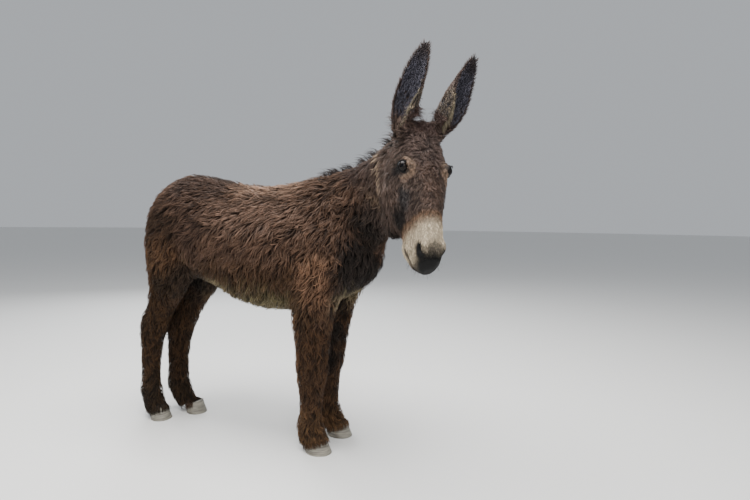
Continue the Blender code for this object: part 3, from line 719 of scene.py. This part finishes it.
EYE = eye_material()
eye_centers = {}
for word, side in SIDES:
    center = middle_of(f"eye_{word}")
    eye_centers[side] = center
    look = HEAD_TURN @ LOOK[side]
    turn = level_turn(look, HEAD_TURN @ Vector((0, 0, 1)))
    bm = bmesh.new()
    bmesh.ops.create_uvsphere(bm, u_segments=64, v_segments=48, radius=EYE_RADIUS)
    colors = []
    for vert in bm.verts:
        angle = math.degrees(vert.co.angle(Vector((0, 0, 1))))
        across, along = vert.co.x / EYE_RADIUS, vert.co.y / EYE_RADIUS
        if (along / PUPIL_LONG) ** 2 + (across / PUPIL_SHORT) ** 2 < 1 and angle < 90:
            colors.append(linear(PUPIL_COLOR))
        elif angle < IRIS_ANGLE:
            colors.append(linear(IRIS_COLOR))
        else:
            colors.append(linear(RING_COLOR if angle < RING_ANGLE else WHITE_COLOR))
        bulge = max(0, 1 - (angle / IRIS_ANGLE) ** 2)
        vert.co = turn @ (vert.co * (1 + BULGE * bulge)) + center
    eye = object_of(bm, f"eye_ball_{word}")
    eye.data.shade_smooth()
    paint(eye.data, np.array(colors))
    eye.data.materials.append(EYE)
    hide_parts(f"eye_{word}")
    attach(eye, "root")

# ---------------------------------------------------------------- eyelids
# The lids are folds of the hide, drawn over the ball and open in a rounded almond. Their wet black rims
# stand a little proud of the eye, the upper one more.

LID_OPENING = {"along": 62, "above": 46, "below": 48}
# From the wet rim outwards: degrees beyond the opening and height over the ball, in millimetres
LID_RIM = [(4, -1.2), (1, 0.2), (-1.0, 1.2), (1, 3.0), (8, 4.0)]
# Then, in millimetres, the distance from the middle of the eye and the height over the hide, of the upper lid
# and of the lower one. Above and below the eye the folds lie nearer to it than at its corners, by this share.
LID_FOLDS = [(30, 7.0, 4.0), (34, 6.2, 2.6), (37, 7.2, 2.4), (42, 6.0, 1.2), (47, 2.8, 0.2), (54, -1.5, -1.5)]
LID_NARROWS = 0.82
LID_SPOKES = 96


def tree_of(*objects, topless=()):
    """One tree over several meshes; the topless ones are without the faces that look up."""
    bm = bmesh.new()
    for obj in topless:
        bm.from_mesh(obj.data)
    bm.normal_update()
    bmesh.ops.delete(bm, geom=[face for face in bm.faces if face.normal.z > 0.5], context="FACES")
    for obj in objects:
        bm.from_mesh(obj.data)
    bmesh.ops.triangulate(bm, faces=bm.faces[:])
    tree = BVHTree.FromBMesh(bm)
    bm.free()
    return tree


def lid_frame(side):
    """The way that an eye looks, the way along its lids to the corner by the nose, and the way above it."""
    look = HEAD_TURN @ LOOK[side]
    along = HEAD_TURN @ Vector((0.80, 0, 0.28))
    along = (along - look * along.dot(look)).normalized()
    above = look.cross(along)
    above *= 1 if above.dot(HEAD_TURN @ Vector((-0.3, 0, 1))) > 0 else -1
    return look, along, above


bare_tree = tree_of(skin)
lids = []
for word, side in SIDES:
    center = eye_centers[side]
    look, along, above = lid_frame(side)
    bm = bmesh.new()
    wet = bm.verts.layers.float.new("wet")
    rings = [[] for _ in LID_RIM + LID_FOLDS]
    for spoke in range(LID_SPOKES):
        around = 2 * math.pi * spoke / LID_SPOKES
        c, s = math.cos(around), math.sin(around)
        out = along * c + above * s
        opening = math.hypot(LID_OPENING["along"] * c, LID_OPENING["above" if s > 0 else "below"] * s)
        for ring, (beyond, over) in zip(rings, LID_RIM):
            angle = math.radians(opening + beyond)
            place = center + (look * math.cos(angle) + out * math.sin(angle)) * (EYE_RADIUS + over / 1000)
            ring.append(bm.verts.new(place))
        upper = 0.5 + 0.5 * s
        for ring, (distance, high, low) in zip(rings[len(LID_RIM):], LID_FOLDS):
            aside = (along * c + above * s * LID_NARROWS) * distance / 1000
            there, faced, _, _ = bare_tree.find_nearest(center + look * 0.010 + aside)
            if faced.dot(look) < 0.2:
                faced = look
            ring.append(bm.verts.new(there + faced * (high * upper + low * (1 - upper)) / 1000))
    for ring, share in zip(rings, [1] * len(LID_RIM) + [0.5]):
        for vert in ring:
            vert[wet] = share
    for inner, outer in zip(rings, rings[1:]):
        for spoke in range(LID_SPOKES):
            after = (spoke + 1) % LID_SPOKES
            bm.faces.new((inner[spoke], inner[after], outer[after], outer[spoke]))
    bm.normal_update()
    if sum(face.normal.dot(look) for face in bm.faces) < 0:
        bmesh.ops.reverse_faces(bm, faces=bm.faces[:])
    lid = object_of(bm, f"eyelids_{word}")
    rounded = lid.modifiers.new("Round", "SUBSURF")
    rounded.levels = rounded.render_levels = 1
    replace_mesh(lid, evaluated_mesh(lid))
    wetness = np.empty(len(lid.data.vertices), np.float32)
    lid.data.attributes["wet"].data.foreach_get("value", wetness)
    finish_hide(lid, smooth_step(wetness)[:, None])
    lids.append(lid)

# ---------------------------------------------------------------- hooves
# Four hooves of grey-tan horn, each a leaning cone with faint rings of growth, worn flat at the ground. The
# hair of the coronet hangs over their tops.

HOOF_VOXEL = 0.0022
# How far apart the rings of growth are, and how deep
HOOF_RING = 0.009
RING_DEPTH = 0.0004


def horn_material():
    """Horn in level bands of pale and dark grey-tan."""
    made = material_of("horn", (0.28, 0.25, 0.20), 0.55)
    nodes, links = made.node_tree.nodes, made.node_tree.links
    place = nodes.new("ShaderNodeTexCoord")
    stretch = nodes.new("ShaderNodeMapping")
    stretch.inputs["Scale"].default_value = (14, 14, 120)
    noise = nodes.new("ShaderNodeTexNoise")
    noise.inputs["Scale"].default_value = 1.0
    ramp = nodes.new("ShaderNodeValToRGB")
    dark, pale = ramp.color_ramp.elements
    dark.position, dark.color = 0.3, (0.09, 0.083, 0.07, 1)
    pale.position, pale.color = 0.7, (0.29, 0.27, 0.22, 1)
    links.new(place.outputs["Object"], stretch.inputs["Vector"])
    links.new(stretch.outputs["Vector"], noise.inputs["Vector"])
    links.new(noise.outputs["Fac"], ramp.inputs["Fac"])
    links.new(ramp.outputs["Color"], nodes["Principled BSDF"].inputs["Base Color"])
    return made


HORN = horn_material()
hooves = []
for leg in ("fore", "hind"):
    for word, _ in SIDES:
        node = f"hoof_{leg}_{word}"
        bm = bmesh.new()
        bm.from_mesh(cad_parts[node].data)
        bmesh.ops.remove_doubles(bm, verts=bm.verts[:], dist=1e-5)
        hoof = object_of(bm, f"horn_{leg}_{word}")
        fuse = hoof.modifiers.new("Fuse", "REMESH")
        fuse.mode = "VOXEL"
        fuse.voxel_size = HOOF_VOXEL
        round_off = hoof.modifiers.new("Round", "SMOOTH")
        round_off.factor = 0.5
        round_off.iterations = 6
        replace_mesh(hoof, evaluated_mesh(hoof))
        low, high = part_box(node)
        places, normals = vertex_places(hoof.data), vertex_normals(hoof.data)
        rings = np.sin(places[:, 2] * 2 * math.pi / HOOF_RING + 0.8 * waves(places, 0.06, 8))
        walls = smooth_step(1 - np.abs(normals[:, 2]))
        places += normals * (rings * walls - 1)[:, None] * RING_DEPTH
        places[:, 2] = np.clip(places[:, 2], low.z, high.z)
        put_vertices(hoof.data, places)
        hoof.data.shade_smooth()
        hoof.data.materials.append(HORN)
        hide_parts(node)
        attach(hoof, "root")
        hooves.append(hoof)

# ---------------------------------------------------------------- coat
# The shaggy winter coat, as thousands of tapering tufts. Each grows from the hide, runs down the lie of the
# coat, and is drawn in with its neighbours to a shared tip, first in small tufts and then in broad locks.

# Tufts in all, on each lid, and the most that one piece holds
TUFTS = 80000
LID_TUFTS = 3000
PIECE_TUFTS = 12000
COAT = hair_material("coat", 0.62)
UNWRAP_PATCH = 0.003
ROOT_DEPTH = 0.0012
LOWEST_HAIR = 0.010
# How far apart the middles of the small tufts and of the broad locks are, in breadths of a single one
SMALL_TUFT, BROAD_LOCK = 3.2, 9.0
# The curly forehead, and what has no hair: the nostrils and the lips, as places and radii in percent of the
# head, and how far from the middle of an eye the hair of the hide and of the lids starts
FOREHEAD, FOREHEAD_REACH = (28, 0, -12), (48, 24, 44)
NOSTRIL, NOSTRIL_REACH = (91, 7.6, -12.2), (5.5, 2.8, 3.2)
LIPS, LIPS_REACH = (101, 0, -19), (6, 9, 10)
HAIR_FROM_EYE, LID_HAIR_FROM_EYE = EYE_RADIUS + 0.015, EYE_RADIUS + 0.0068
# Each step of a tuft: its share of the length, how far it is drawn in to its neighbours, and its share of the
# stand of the tip
TUFT_STEPS = ((0.30, 0.25, 0.60), (0.36, 0.40, 0.95), (0.34, 0.35, 1.0))
# From root to tip, a tuft's breadths and its shades: painted shade, dark in the depth of the coat, and a
# lighter tip, partly sun-bleached hair and partly a painted highlight
TUFT_BREADTHS = (0.75, 1.0, 0.62, 0.3)
TUFT_SHADES, TIP_SHADE = (0.20, 0.70, 1.06, 1.06), 1.46


def unwrapped_flesh():
    """A closed copy of the flesh, unwrapped: its tree, its corners and their places on the unwrap."""
    shape = object_of(merged_flesh(0), "unwrap")
    bpy.context.view_layer.objects.active = shape
    shape.select_set(True)
    shape.data.uv_layers.new(name="OFBake")
    bpy.ops.object.mode_set(mode="EDIT")
    bpy.ops.mesh.select_all(action="SELECT")
    bpy.ops.uv.smart_project(angle_limit=math.radians(60), island_margin=0.004)
    bpy.ops.object.mode_set(mode="OBJECT")
    bm = bmesh.new()
    bm.from_mesh(shape.data)
    bmesh.ops.triangulate(bm, faces=bm.faces[:])
    layer = bm.loops.layers.uv["OFBake"]
    tree = BVHTree.FromBMesh(bm)
    corners = np.array([[vert.co for vert in face.verts] for face in bm.faces])
    spots = np.array([[loop[layer].uv for loop in face.loops] for face in bm.faces])
    bm.free()
    bpy.data.objects.remove(shape)
    return tree, corners, spots


unwrap_tree, unwrap_corners, unwrap_spots = unwrapped_flesh()


def unwrap_places(points):
    """Where points lie on the unwrap of the flesh."""
    hits = [unwrap_tree.find_nearest(Vector(point)) for point in points]
    faces = np.array([hit[2] for hit in hits])
    nearest = np.array([hit[0] for hit in hits])
    # Each point's shares of the three corners of its triangle
    a, b, c = (unwrap_corners[faces, corner] for corner in range(3))
    ab, ac, ap = b - a, c - a, nearest - a
    d00, d01, d11 = (ab * ab).sum(1), (ab * ac).sum(1), (ac * ac).sum(1)
    d20, d21 = (ap * ab).sum(1), (ap * ac).sum(1)
    scale = np.maximum(d00 * d11 - d01 * d01, 1e-18)
    v, w = (d11 * d20 - d01 * d21) / scale, (d00 * d21 - d01 * d20) / scale
    shares = np.clip(np.stack((1 - v - w, v, w), 1), 0, 1)
    shares /= shares.sum(1, keepdims=True)
    return (unwrap_spots[faces] * shares[:, :, None]).sum(1)


# What the hair lies on: the hide, the lids and the walls of the hooves, which it hangs over
guide_tree = tree_of(skin, *lids, topless=hooves)


def corners_of(mesh):
    """The corners of a mesh's triangles."""
    mesh.calc_loop_triangles()
    indices = np.empty(len(mesh.loop_triangles) * 3, np.int32)
    mesh.loop_triangles.foreach_get("vertices", indices)
    return vertex_places(mesh)[indices.reshape(-1, 3)]


def roots_on(corners, count, seed):
    """Evenly strewn roots, as many to a place as the breadth of its tufts needs."""
    rng = np.random.default_rng(seed)
    normals = np.cross(corners[:, 1] - corners[:, 0], corners[:, 2] - corners[:, 0])
    areas = np.linalg.norm(normals, axis=1) / 2
    _, _, _, breadth, _ = lie_of_coat(corners.mean(1))
    need = np.cumsum(areas / breadth**2)
    picks = np.searchsorted(need, (np.arange(count) + rng.random(count)) * need[-1] / count)
    picks = np.minimum(picks, len(corners) - 1)
    u, v = rng.random((2, count))
    folded = u + v > 1
    u[folded], v[folded] = 1 - u[folded], 1 - v[folded]
    a, b, c = corners[picks, 0], corners[picks, 1], corners[picks, 2]
    return a + (b - a) * u[:, None] + (c - a) * v[:, None], unit(normals[picks])


def gather(points, spacing, rng):
    """Middles of bunches about spacing apart, and each point's bunch and how far out it is in it."""
    tree = KDTree(len(points))
    for index, point in enumerate(points):
        tree.insert(point, index)
    tree.balance()
    bunch = np.full(len(points), -1)
    reach = np.full(len(points), np.inf)
    middles = []
    for index in rng.permutation(len(points)):
        # Only a point that is well away from every middle so far becomes one
        if reach[index] <= spacing[index] * 0.5:
            continue
        for _, other, away in tree.find_range(points[index], spacing[index]):
            if away < reach[other]:
                reach[other] = away
                bunch[other] = len(middles)
        middles.append(index)
    return np.array(middles), bunch, np.clip(reach / (spacing * 0.62), 0, 1)


def turned(directions, normals, angles):
    """Directions turned about normals."""
    c, s = np.cos(angles)[:, None], np.sin(angles)[:, None]
    return directions * c + np.cross(normals, directions) * s


def flat(directions, normals):
    """Directions laid along the skin."""
    return unit(directions - normals * (directions * normals).sum(1, keepdims=True))


def on_guide(points):
    """The nearest places on what the hair lies on, and the way it faces there."""
    hits = [guide_tree.find_nearest(Vector(point)) for point in points]
    return np.array([hit[0] for hit in hits]), np.array([hit[1] for hit in hits])


def comb(roots, normals, seed):
    """The course of each tuft, as four places from root to tip, and its facing, breadth and tone."""
    rng = np.random.default_rng(seed)
    count = len(roots)
    directions, length, stand, breadth, scatter = lie_of_coat(roots)
    small, small_of, small_out = gather(roots, breadth * SMALL_TUFT, rng)
    locks, locks_of, locks_out = gather(roots, breadth * BROAD_LOCK, rng)

    # The shaggy legs and the curly forehead are the most uneven
    on_legs = smooth_step((64 - in_body(roots)[:, 2]) / 12)
    on_forehead = smooth_step((1 - reach_from(in_head(roots), FOREHEAD, FOREHEAD_REACH)) / 0.3)
    uneven = 1 + 0.8 * on_legs + 0.6 * on_forehead

    def spread(lock_spread, small_spread, own_spread):
        """Chance values that a lock shares, and a small tuft in it, and each tuft's own."""
        by_lock = rng.normal(0, lock_spread, len(locks))[locks_of]
        by_small = rng.normal(0, small_spread, len(small))[small_of]
        return by_lock + by_small + rng.normal(0, own_spread, count)

    # Neighbours turn aside and curl together, within the scatter of their place
    turn = 0.8 * waves(roots, 0.16, seed + 1) + spread(0.9, 0.7, 0.35)
    curl = spread(0.45, 0.55, 0.2)
    directions = turned(flat(directions, normals), normals, turn * scatter)
    # The middle of a lock stands highest and catches the light; its edges lie lower, in shade
    lift = 1 + spread(0.12, 0.14, 0.08)
    stand = stand * np.clip(lift, 0.5, 1.4) * (1.16 - 0.40 * locks_out**2) * (1.05 - 0.20 * small_out**2)
    length = length * (1 + rng.normal(0, 0.12, len(small))[small_of]) * rng.uniform(0.8, 1.1, count)
    tone = np.clip(1 + spread(0.18, 0.17, 0.14) * uneven, 0.35, 1.9)
    # Painted shade at the edges of each lock and small tuft, and a painted highlight in their middles
    tone = tone * (1.30 - 0.72 * locks_out**2) * (1.08 - 0.26 * small_out**2)
    place, course, facing = roots, [roots - normals * ROOT_DEPTH], [normals]
    for share, drawn, rise in TUFT_STEPS:
        to_small, to_lock = roots[small[small_of]] - roots, roots[locks[locks_of]] - roots
        pull = to_small * 0.62 + to_lock * 0.30
        pull -= directions * (pull * directions).sum(1, keepdims=True) * 0.8
        step = place + directions * (length * share)[:, None] + pull * drawn
        there, faced = on_guide(step)
        turning = ((faced * facing[-1]).sum(1) > 0.1)[:, None]
        faced = np.where(turning, faced, facing[-1])
        place = np.where(turning, there, step)
        directions = turned(flat(directions, faced), faced, curl * scatter)
        raised = place + faced * (stand * rise)[:, None]
        raised[:, 2] = np.maximum(raised[:, 2], LOWEST_HAIR)
        course.append(raised)
        facing.append(faced)
    return course, facing, breadth * rng.uniform(0.85, 1.15, count), tone


def tuft_mesh(name, course, facing, breadth, colors, spots, rust=0.0, fullness=0.34):
    """Closed three-sided tufts along their courses, as one mesh with its colours and unwrap."""
    count = len(course[0])
    rings = len(course) - 1
    verts, shades, unwraps = [], [], []
    for ring in range(rings):
        ahead = unit(course[ring + 1] - course[max(ring - 1, 0)])
        beside = unit(np.cross(ahead, facing[ring]))
        half = beside * (breadth * TUFT_BREADTHS[ring] / 2)[:, None]
        crown = unit(np.cross(beside, ahead)) * (breadth * TUFT_BREADTHS[ring] * fullness)[:, None]
        verts += [course[ring] - half, course[ring] + half, course[ring] + crown]
        shades += [TUFT_SHADES[ring]] * 3
        along = ring / rings - 0.5
        unwraps += [(-0.5, along), (0.5, along), (0.0, along)]
    verts.append(course[-1])
    shades.append(TIP_SHADE)
    unwraps.append((0.0, 0.5))
    per = len(verts)
    faces = [(0, 2, 1)]
    for ring in range(rings - 1):
        low, up = ring * 3, ring * 3 + 3
        for a, b in ((0, 1), (1, 2), (2, 0)):
            faces += [(low + a, low + b, up + b), (low + a, up + b, up + a)]
    low = (rings - 1) * 3
    faces += [(low + a, low + b, per - 1) for a, b in ((0, 1), (1, 2), (2, 0))]
    faces = np.array(faces)
    all_places = np.stack(verts, 1).reshape(-1, 3)
    all_faces = (faces[None] + (np.arange(count) * per)[:, None, None]).reshape(-1, 3)
    mesh = bpy.data.meshes.new(name)
    mesh.vertices.add(len(all_places))
    mesh.vertices.foreach_set("co", all_places.astype(np.float32).ravel())
    mesh.loops.add(len(all_faces) * 3)
    mesh.loops.foreach_set("vertex_index", all_faces.astype(np.int32).ravel())
    mesh.polygons.add(len(all_faces))
    mesh.polygons.foreach_set("loop_start", np.arange(0, len(all_faces) * 3, 3, dtype=np.int32))
    mesh.update(calc_edges=True)
    mesh.shade_smooth()
    # Painted shade along each tuft: dark at the root, lighter at the tip
    shades = np.array(shades)[None, :, None]
    # Sun-bleached tips are warmer than the rest of the tuft
    warm = 1 + np.clip(shades - 1, 0, 1) * rust * np.array((1.0, 0.25, -0.5))
    paint(mesh, np.clip(colors[:, None] * shades * warm, 0, 1).reshape(-1, 3))
    patch = spots[:, None] + np.array(unwraps)[None] * UNWRAP_PATCH
    layer = mesh.uv_layers.new(name="OFBake")
    layer.data.foreach_set("uv", patch.reshape(-1, 2)[all_faces.ravel()].astype(np.float32).ravel())
    mesh.materials.append(COAT)
    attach(object_of(mesh, name), "root")


def sow(name, roots, normals, seed):
    """Combs tufts out of roots and makes pieces of them, each on the node of flesh that it grows on."""
    course, facing, breadth, tone = comb(roots, normals, seed)
    colors, spots, owners = markings(roots, normals) * tone[:, None], unwrap_places(roots), owners_of(roots)
    for number in np.unique(owners):
        mine = np.flatnonzero(owners == number)
        mine = mine[np.lexsort((roots[mine, 0], roots[mine, 1] > BODY_MIDDLE.y))]
        parts = np.array_split(mine, math.ceil(len(mine) / PIECE_TUFTS))
        for part, some in enumerate(parts, 1):
            tuft_mesh(
                f"{name}_{FLESH[number]}_{part}",
                [ring[some] for ring in course],
                [ring[some] for ring in facing],
                breadth[some],
                colors[some],
                spots[some],
                rust=0.4,
            )


def from_eyes(points):
    """How far points are from the middle of the nearer eye."""
    away = [np.linalg.norm(points - np.array(center), axis=1) for center in eye_centers.values()]
    return np.min(away, axis=0)


roots, root_normals = roots_on(corners_of(skin.data), TUFTS, 11)
head_roots = in_head(roots)
haired = (reach_from(mirrored(head_roots), NOSTRIL, NOSTRIL_REACH) > 1) & (from_eyes(roots) > HAIR_FROM_EYE)
haired &= reach_from(head_roots, LIPS, LIPS_REACH) > 1
# The ends of the legs rest on the hooves
on_hooves = (roots[:, 2] < 0.085) & (root_normals[:, 2] < -0.6)
kept = haired & ~on_hooves
sow("coat", roots[kept], root_normals[kept], 21)

# The lids' short hair, which leaves their rims bare
for (word, side), lid in zip(SIDES, lids):
    roots, root_normals = roots_on(corners_of(lid.data), LID_TUFTS, 31)
    outside = (root_normals * unit(roots - np.array(eye_centers[side]))).sum(1) > 0.1
    kept = outside & (from_eyes(roots) > LID_HAIR_FROM_EYE)
    sow(f"lid_hair_{word}", roots[kept], root_normals[kept], 32)

# ---------------------------------------------------------------- hair over the hooves
# The long hair of the coronets and the heels. It grows from the last of the hide, bends out over the upper
# edges of the hooves, and hangs down outside their walls, longest at the heels.

FEATHER_TUFTS = 440
# The furthest that a root may be from the edge of the wall, and how far out the wall is looked for
FEATHER_REACH, WALL_REACH = 0.09, 0.12
rng = np.random.default_rng(7)
for hoof in hooves:
    places = vertex_places(hoof.data)
    # The top of the hoof, whose outermost places are the upper edge of the wall
    upper = places[(vertex_normals(hoof.data)[:, 2] > 0.85) & (places[:, 2] > 0.02)]
    middle = Vector(upper.mean(0))
    hoof_tree = tree_of(hoof)
    roots, course = [], [[], [], []]
    for _ in range(FEATHER_TUFTS):
        around = rng.uniform(0, 2 * math.pi)
        heel = 0.5 - 0.5 * math.cos(around)
        out = Vector((math.cos(around), math.sin(around), 0))
        beside = Vector((-out.y, out.x, 0))
        # The upper edge of the wall on this side, the hide over it, and a place further down the wall
        beyond = upper @ np.array(out) - 2 * np.abs((upper - np.array(middle)) @ np.array(beside))
        edge = Vector(upper[np.argmax(beyond)])
        above = edge + Vector((0, 0, rng.uniform(0.006, 0.030 + 0.012 * heel)))
        root = bare_tree.find_nearest(above)[0]
        low = Vector((middle.x, middle.y, max(edge.z - rng.uniform(0.016, 0.028) - 0.010 * heel, 0.008)))
        tip = hoof_tree.ray_cast(low + out * WALL_REACH, -out, WALL_REACH)[0]
        if not tip or root.z < edge.z or (root - edge).length > FEATHER_REACH:
            continue
        sway = beside * -rng.normal(0, 0.004)
        roots.append(root)
        course[0].append(root.lerp(edge, 0.55) + (out * 0.5 + Vector((0, 0, 1))) * 0.004 + sway * 0.3)
        course[1].append(edge + out * 0.004 + sway * 0.6)
        course[2].append(tip + out * 0.003 + sway)
    roots = np.array(roots)
    course = [roots, *(np.array(ring) for ring in course)]
    facing = [unit((ring - np.array(middle)) * (1, 1, 0)) for ring in course]
    colors = markings(roots, facing[0]) * rng.uniform(0.6, 1.35, (len(roots), 1))
    breadth = rng.uniform(0.0030, 0.0044, len(roots))
    tuft_mesh(hoof.name.replace("horn", "feather"), course, facing, breadth, colors, unwrap_places(roots))

# ---------------------------------------------------------------- mane, forelock and the ears' long hair
# A sparse, uneven mane of dark upright locks, worn short, with a curly forelock between the ears. Cream hairs
# stream across the mouth of each ear from the lower part of its inner edge.

DOWN = Vector((0, 0, -1))
MANE_PLACES = 150
FORELOCK_LOCKS = 1200
# The cream hairs of each ear, and the short dark ones along its outer and inner edges
EAR_HAIRS = {-1: 120, 1: 300}
OUTER_FRINGE, INNER_FRINGE = 620, 330
MANE_COLOR = (40, 33, 31)
FORELOCK_COLOR = (66, 52, 48)
EAR_HAIR_COLOR = (118, 110, 92)
EAR_FRINGE_COLOR = (60, 49, 46)


def locks_of_hair(name, rows, color, breadth, seed):
    """Free locks as one mesh; each row is a root, a direction, a way to bend towards and a length."""
    rng = np.random.default_rng(seed)
    roots, directions, bends, lengths = (np.array(part, float) for part in zip(*rows))
    directions, bends, lengths = unit(directions), unit(bends), lengths[:, None]
    course = [roots]
    for share, bent in ((0.25, 0.1), (0.5, 0.3), (0.75, 0.5), (1.0, 0.7)):
        course.append(roots + (directions * (1 - bent * 0.5) + bends * bent) * lengths * share)
    side = rng.normal(size=roots.shape)
    tone = rng.uniform(0.7, 1.4, (len(roots), 1))
    widths = breadth * rng.uniform(0.7, 1.2, len(roots))
    colors, spots = linear(color) * tone, unwrap_places(roots)
    tuft_mesh(name, course, [unit(side)] * 4, widths, colors, spots, rust=0.3, fullness=0.5)


def crest_of_neck(share):
    """The highest of the hide across the neck, at a share of the way from the withers to the poll."""
    x, y = 27 + 38 * share, -1.5 * share - 15.5 * share**2
    starts = [body_point(x, y + aside, 114) for aside in np.linspace(-5, 5, 21)]
    hits = [guide_tree.ray_cast(start, DOWN)[0] for start in starts]
    return max((hit for hit in hits if hit), key=lambda hit: hit.z)


rng = np.random.default_rng(5)
rows = []
for share in np.linspace(0, 1, MANE_PLACES):
    crest = crest_of_neck(share)
    clump = 0.5 + 0.5 * math.sin(share * 61 + 2 * math.sin(share * 23))
    for _ in range(int(3 + 8 * clump)):
        root = crest + Vector(rng.normal(0, 0.006, 3)) - Vector((0, 0, 0.004))
        lean = Vector((-0.35 + rng.normal(0, 0.18), rng.normal(0.1, 0.22), 1))
        rows.append((root, lean, Vector((-1, 0.5, -0.3)), 0.026 + 0.066 * clump**2 * rng.uniform(0.6, 1.2)))
locks_of_hair("mane", rows, MANE_COLOR, 0.0032, 41)

rows = []
for _ in range(FORELOCK_LOCKS):
    x, y = rng.normal(3.0, 3.6), rng.normal(0, 4.2)
    root = guide_tree.find_nearest(head_point(x, y, 6))[0]
    out = HEAD_TURN @ Vector((rng.normal(-0.2, 0.6), rng.normal(0, 0.7), 1))
    bend = HEAD_TURN @ Vector((rng.normal(0.7, 0.9), rng.normal(0, 0.9), -0.6))
    rows.append((root, out, bend, rng.uniform(0.026, 0.066)))
locks_of_hair("forelock", rows, FORELOCK_COLOR, 0.0028, 42)


def on_ear(side, shares, around):
    """Places on an ear, with the ways that it faces there and that lead round it to the nearer edge."""
    _, _, opening, inwards, _ = ear_frame(side)
    turns = (around * ear_wraps(side, shares, around))[:, None]
    middles, radii = ear_middles(side, shares)
    facing = inwards * np.sin(turns) - opening * np.cos(turns)
    rim = (inwards * np.cos(turns) + opening * np.sin(turns)) * np.sign(turns)
    return middles + facing * radii, facing, rim


for word, side in SIDES:
    axis = ear_frame(side)[1]
    shares = rng.uniform(0.16, 0.56, EAR_HAIRS[side])
    places, facing, rim = on_ear(side, shares, rng.uniform(0.90, 1.0, EAR_HAIRS[side]))
    rows = []
    for place, face, past, share in zip(places, facing, rim, shares):
        root = guide_tree.find_nearest(Vector(place))[0]
        out = past * rng.uniform(0.6, 1.4) + face * rng.uniform(-0.3, 0.1) - axis * rng.uniform(0.3, 1.0)
        rows.append((root, out, past * 0.3 - axis, rng.uniform(0.018, 0.036) * (1.15 - share)))
    locks_of_hair(f"ear_hair_{word}", rows, EAR_HAIR_COLOR, 0.0015, 43 + side)

    shares = np.concatenate((rng.uniform(0.12, 1.0, OUTER_FRINGE), rng.uniform(0.50, 1.0, INNER_FRINGE)))
    around = np.concatenate((rng.uniform(-1.0, -0.86, OUTER_FRINGE), rng.uniform(0.86, 1.0, INNER_FRINGE)))
    places, facing, rim = on_ear(side, shares, around)
    rows = []
    for place, face, past, share in zip(places, facing, rim, shares):
        root = guide_tree.find_nearest(Vector(place))[0]
        out = past * rng.uniform(0.0, 0.7) + face * rng.uniform(0.1, 0.8) + axis * rng.uniform(0.6, 1.1)
        rows.append((root, out, axis + face * 0.5, rng.uniform(0.011, 0.020)))
    locks_of_hair(f"ear_fringe_{word}", rows, EAR_FRINGE_COLOR, 0.0019, 46 + side)

# ---------------------------------------------------------------- lashes and whiskers
# Stiff dark lashes, which stand out along the upper lids and bend down over the eyes, and sparse feelers on
# the lips and chin.

LASHES, WHISKERS = 70, 90
LASH_COLOR, WHISKER_COLOR = (20, 17, 17), (70, 64, 60)
rows = []
for _, side in SIDES:
    look, along, above = lid_frame(side)
    for _ in range(LASHES):
        around = math.radians(rng.uniform(15, 165))
        c, s = math.cos(around), math.sin(around)
        out = along * c + above * s
        angle = math.radians(math.hypot(LID_OPENING["along"] * c, LID_OPENING["above"] * s) + 1)
        root = eye_centers[side] + (look * math.cos(angle) + out * math.sin(angle)) * (EYE_RADIUS + 0.003)
        direction = look + out * 0.5 + Vector(rng.normal(0, 0.12, 3))
        rows.append((root, direction, DOWN, rng.uniform(0.010, 0.019)))
locks_of_hair("lashes", rows, LASH_COLOR, 0.0009, 51)

rows = []
for _ in range(WHISKERS):
    spot = head_point(rng.uniform(84, 101), rng.uniform(-9, 9), rng.uniform(-40, -20))
    there, faced, _, _ = guide_tree.find_nearest(spot)
    rows.append((there, faced + Vector(rng.normal(0, 0.2, 3)), DOWN, rng.uniform(0.012, 0.028)))
locks_of_hair("whiskers", rows, WHISKER_COLOR, 0.0007, 52)
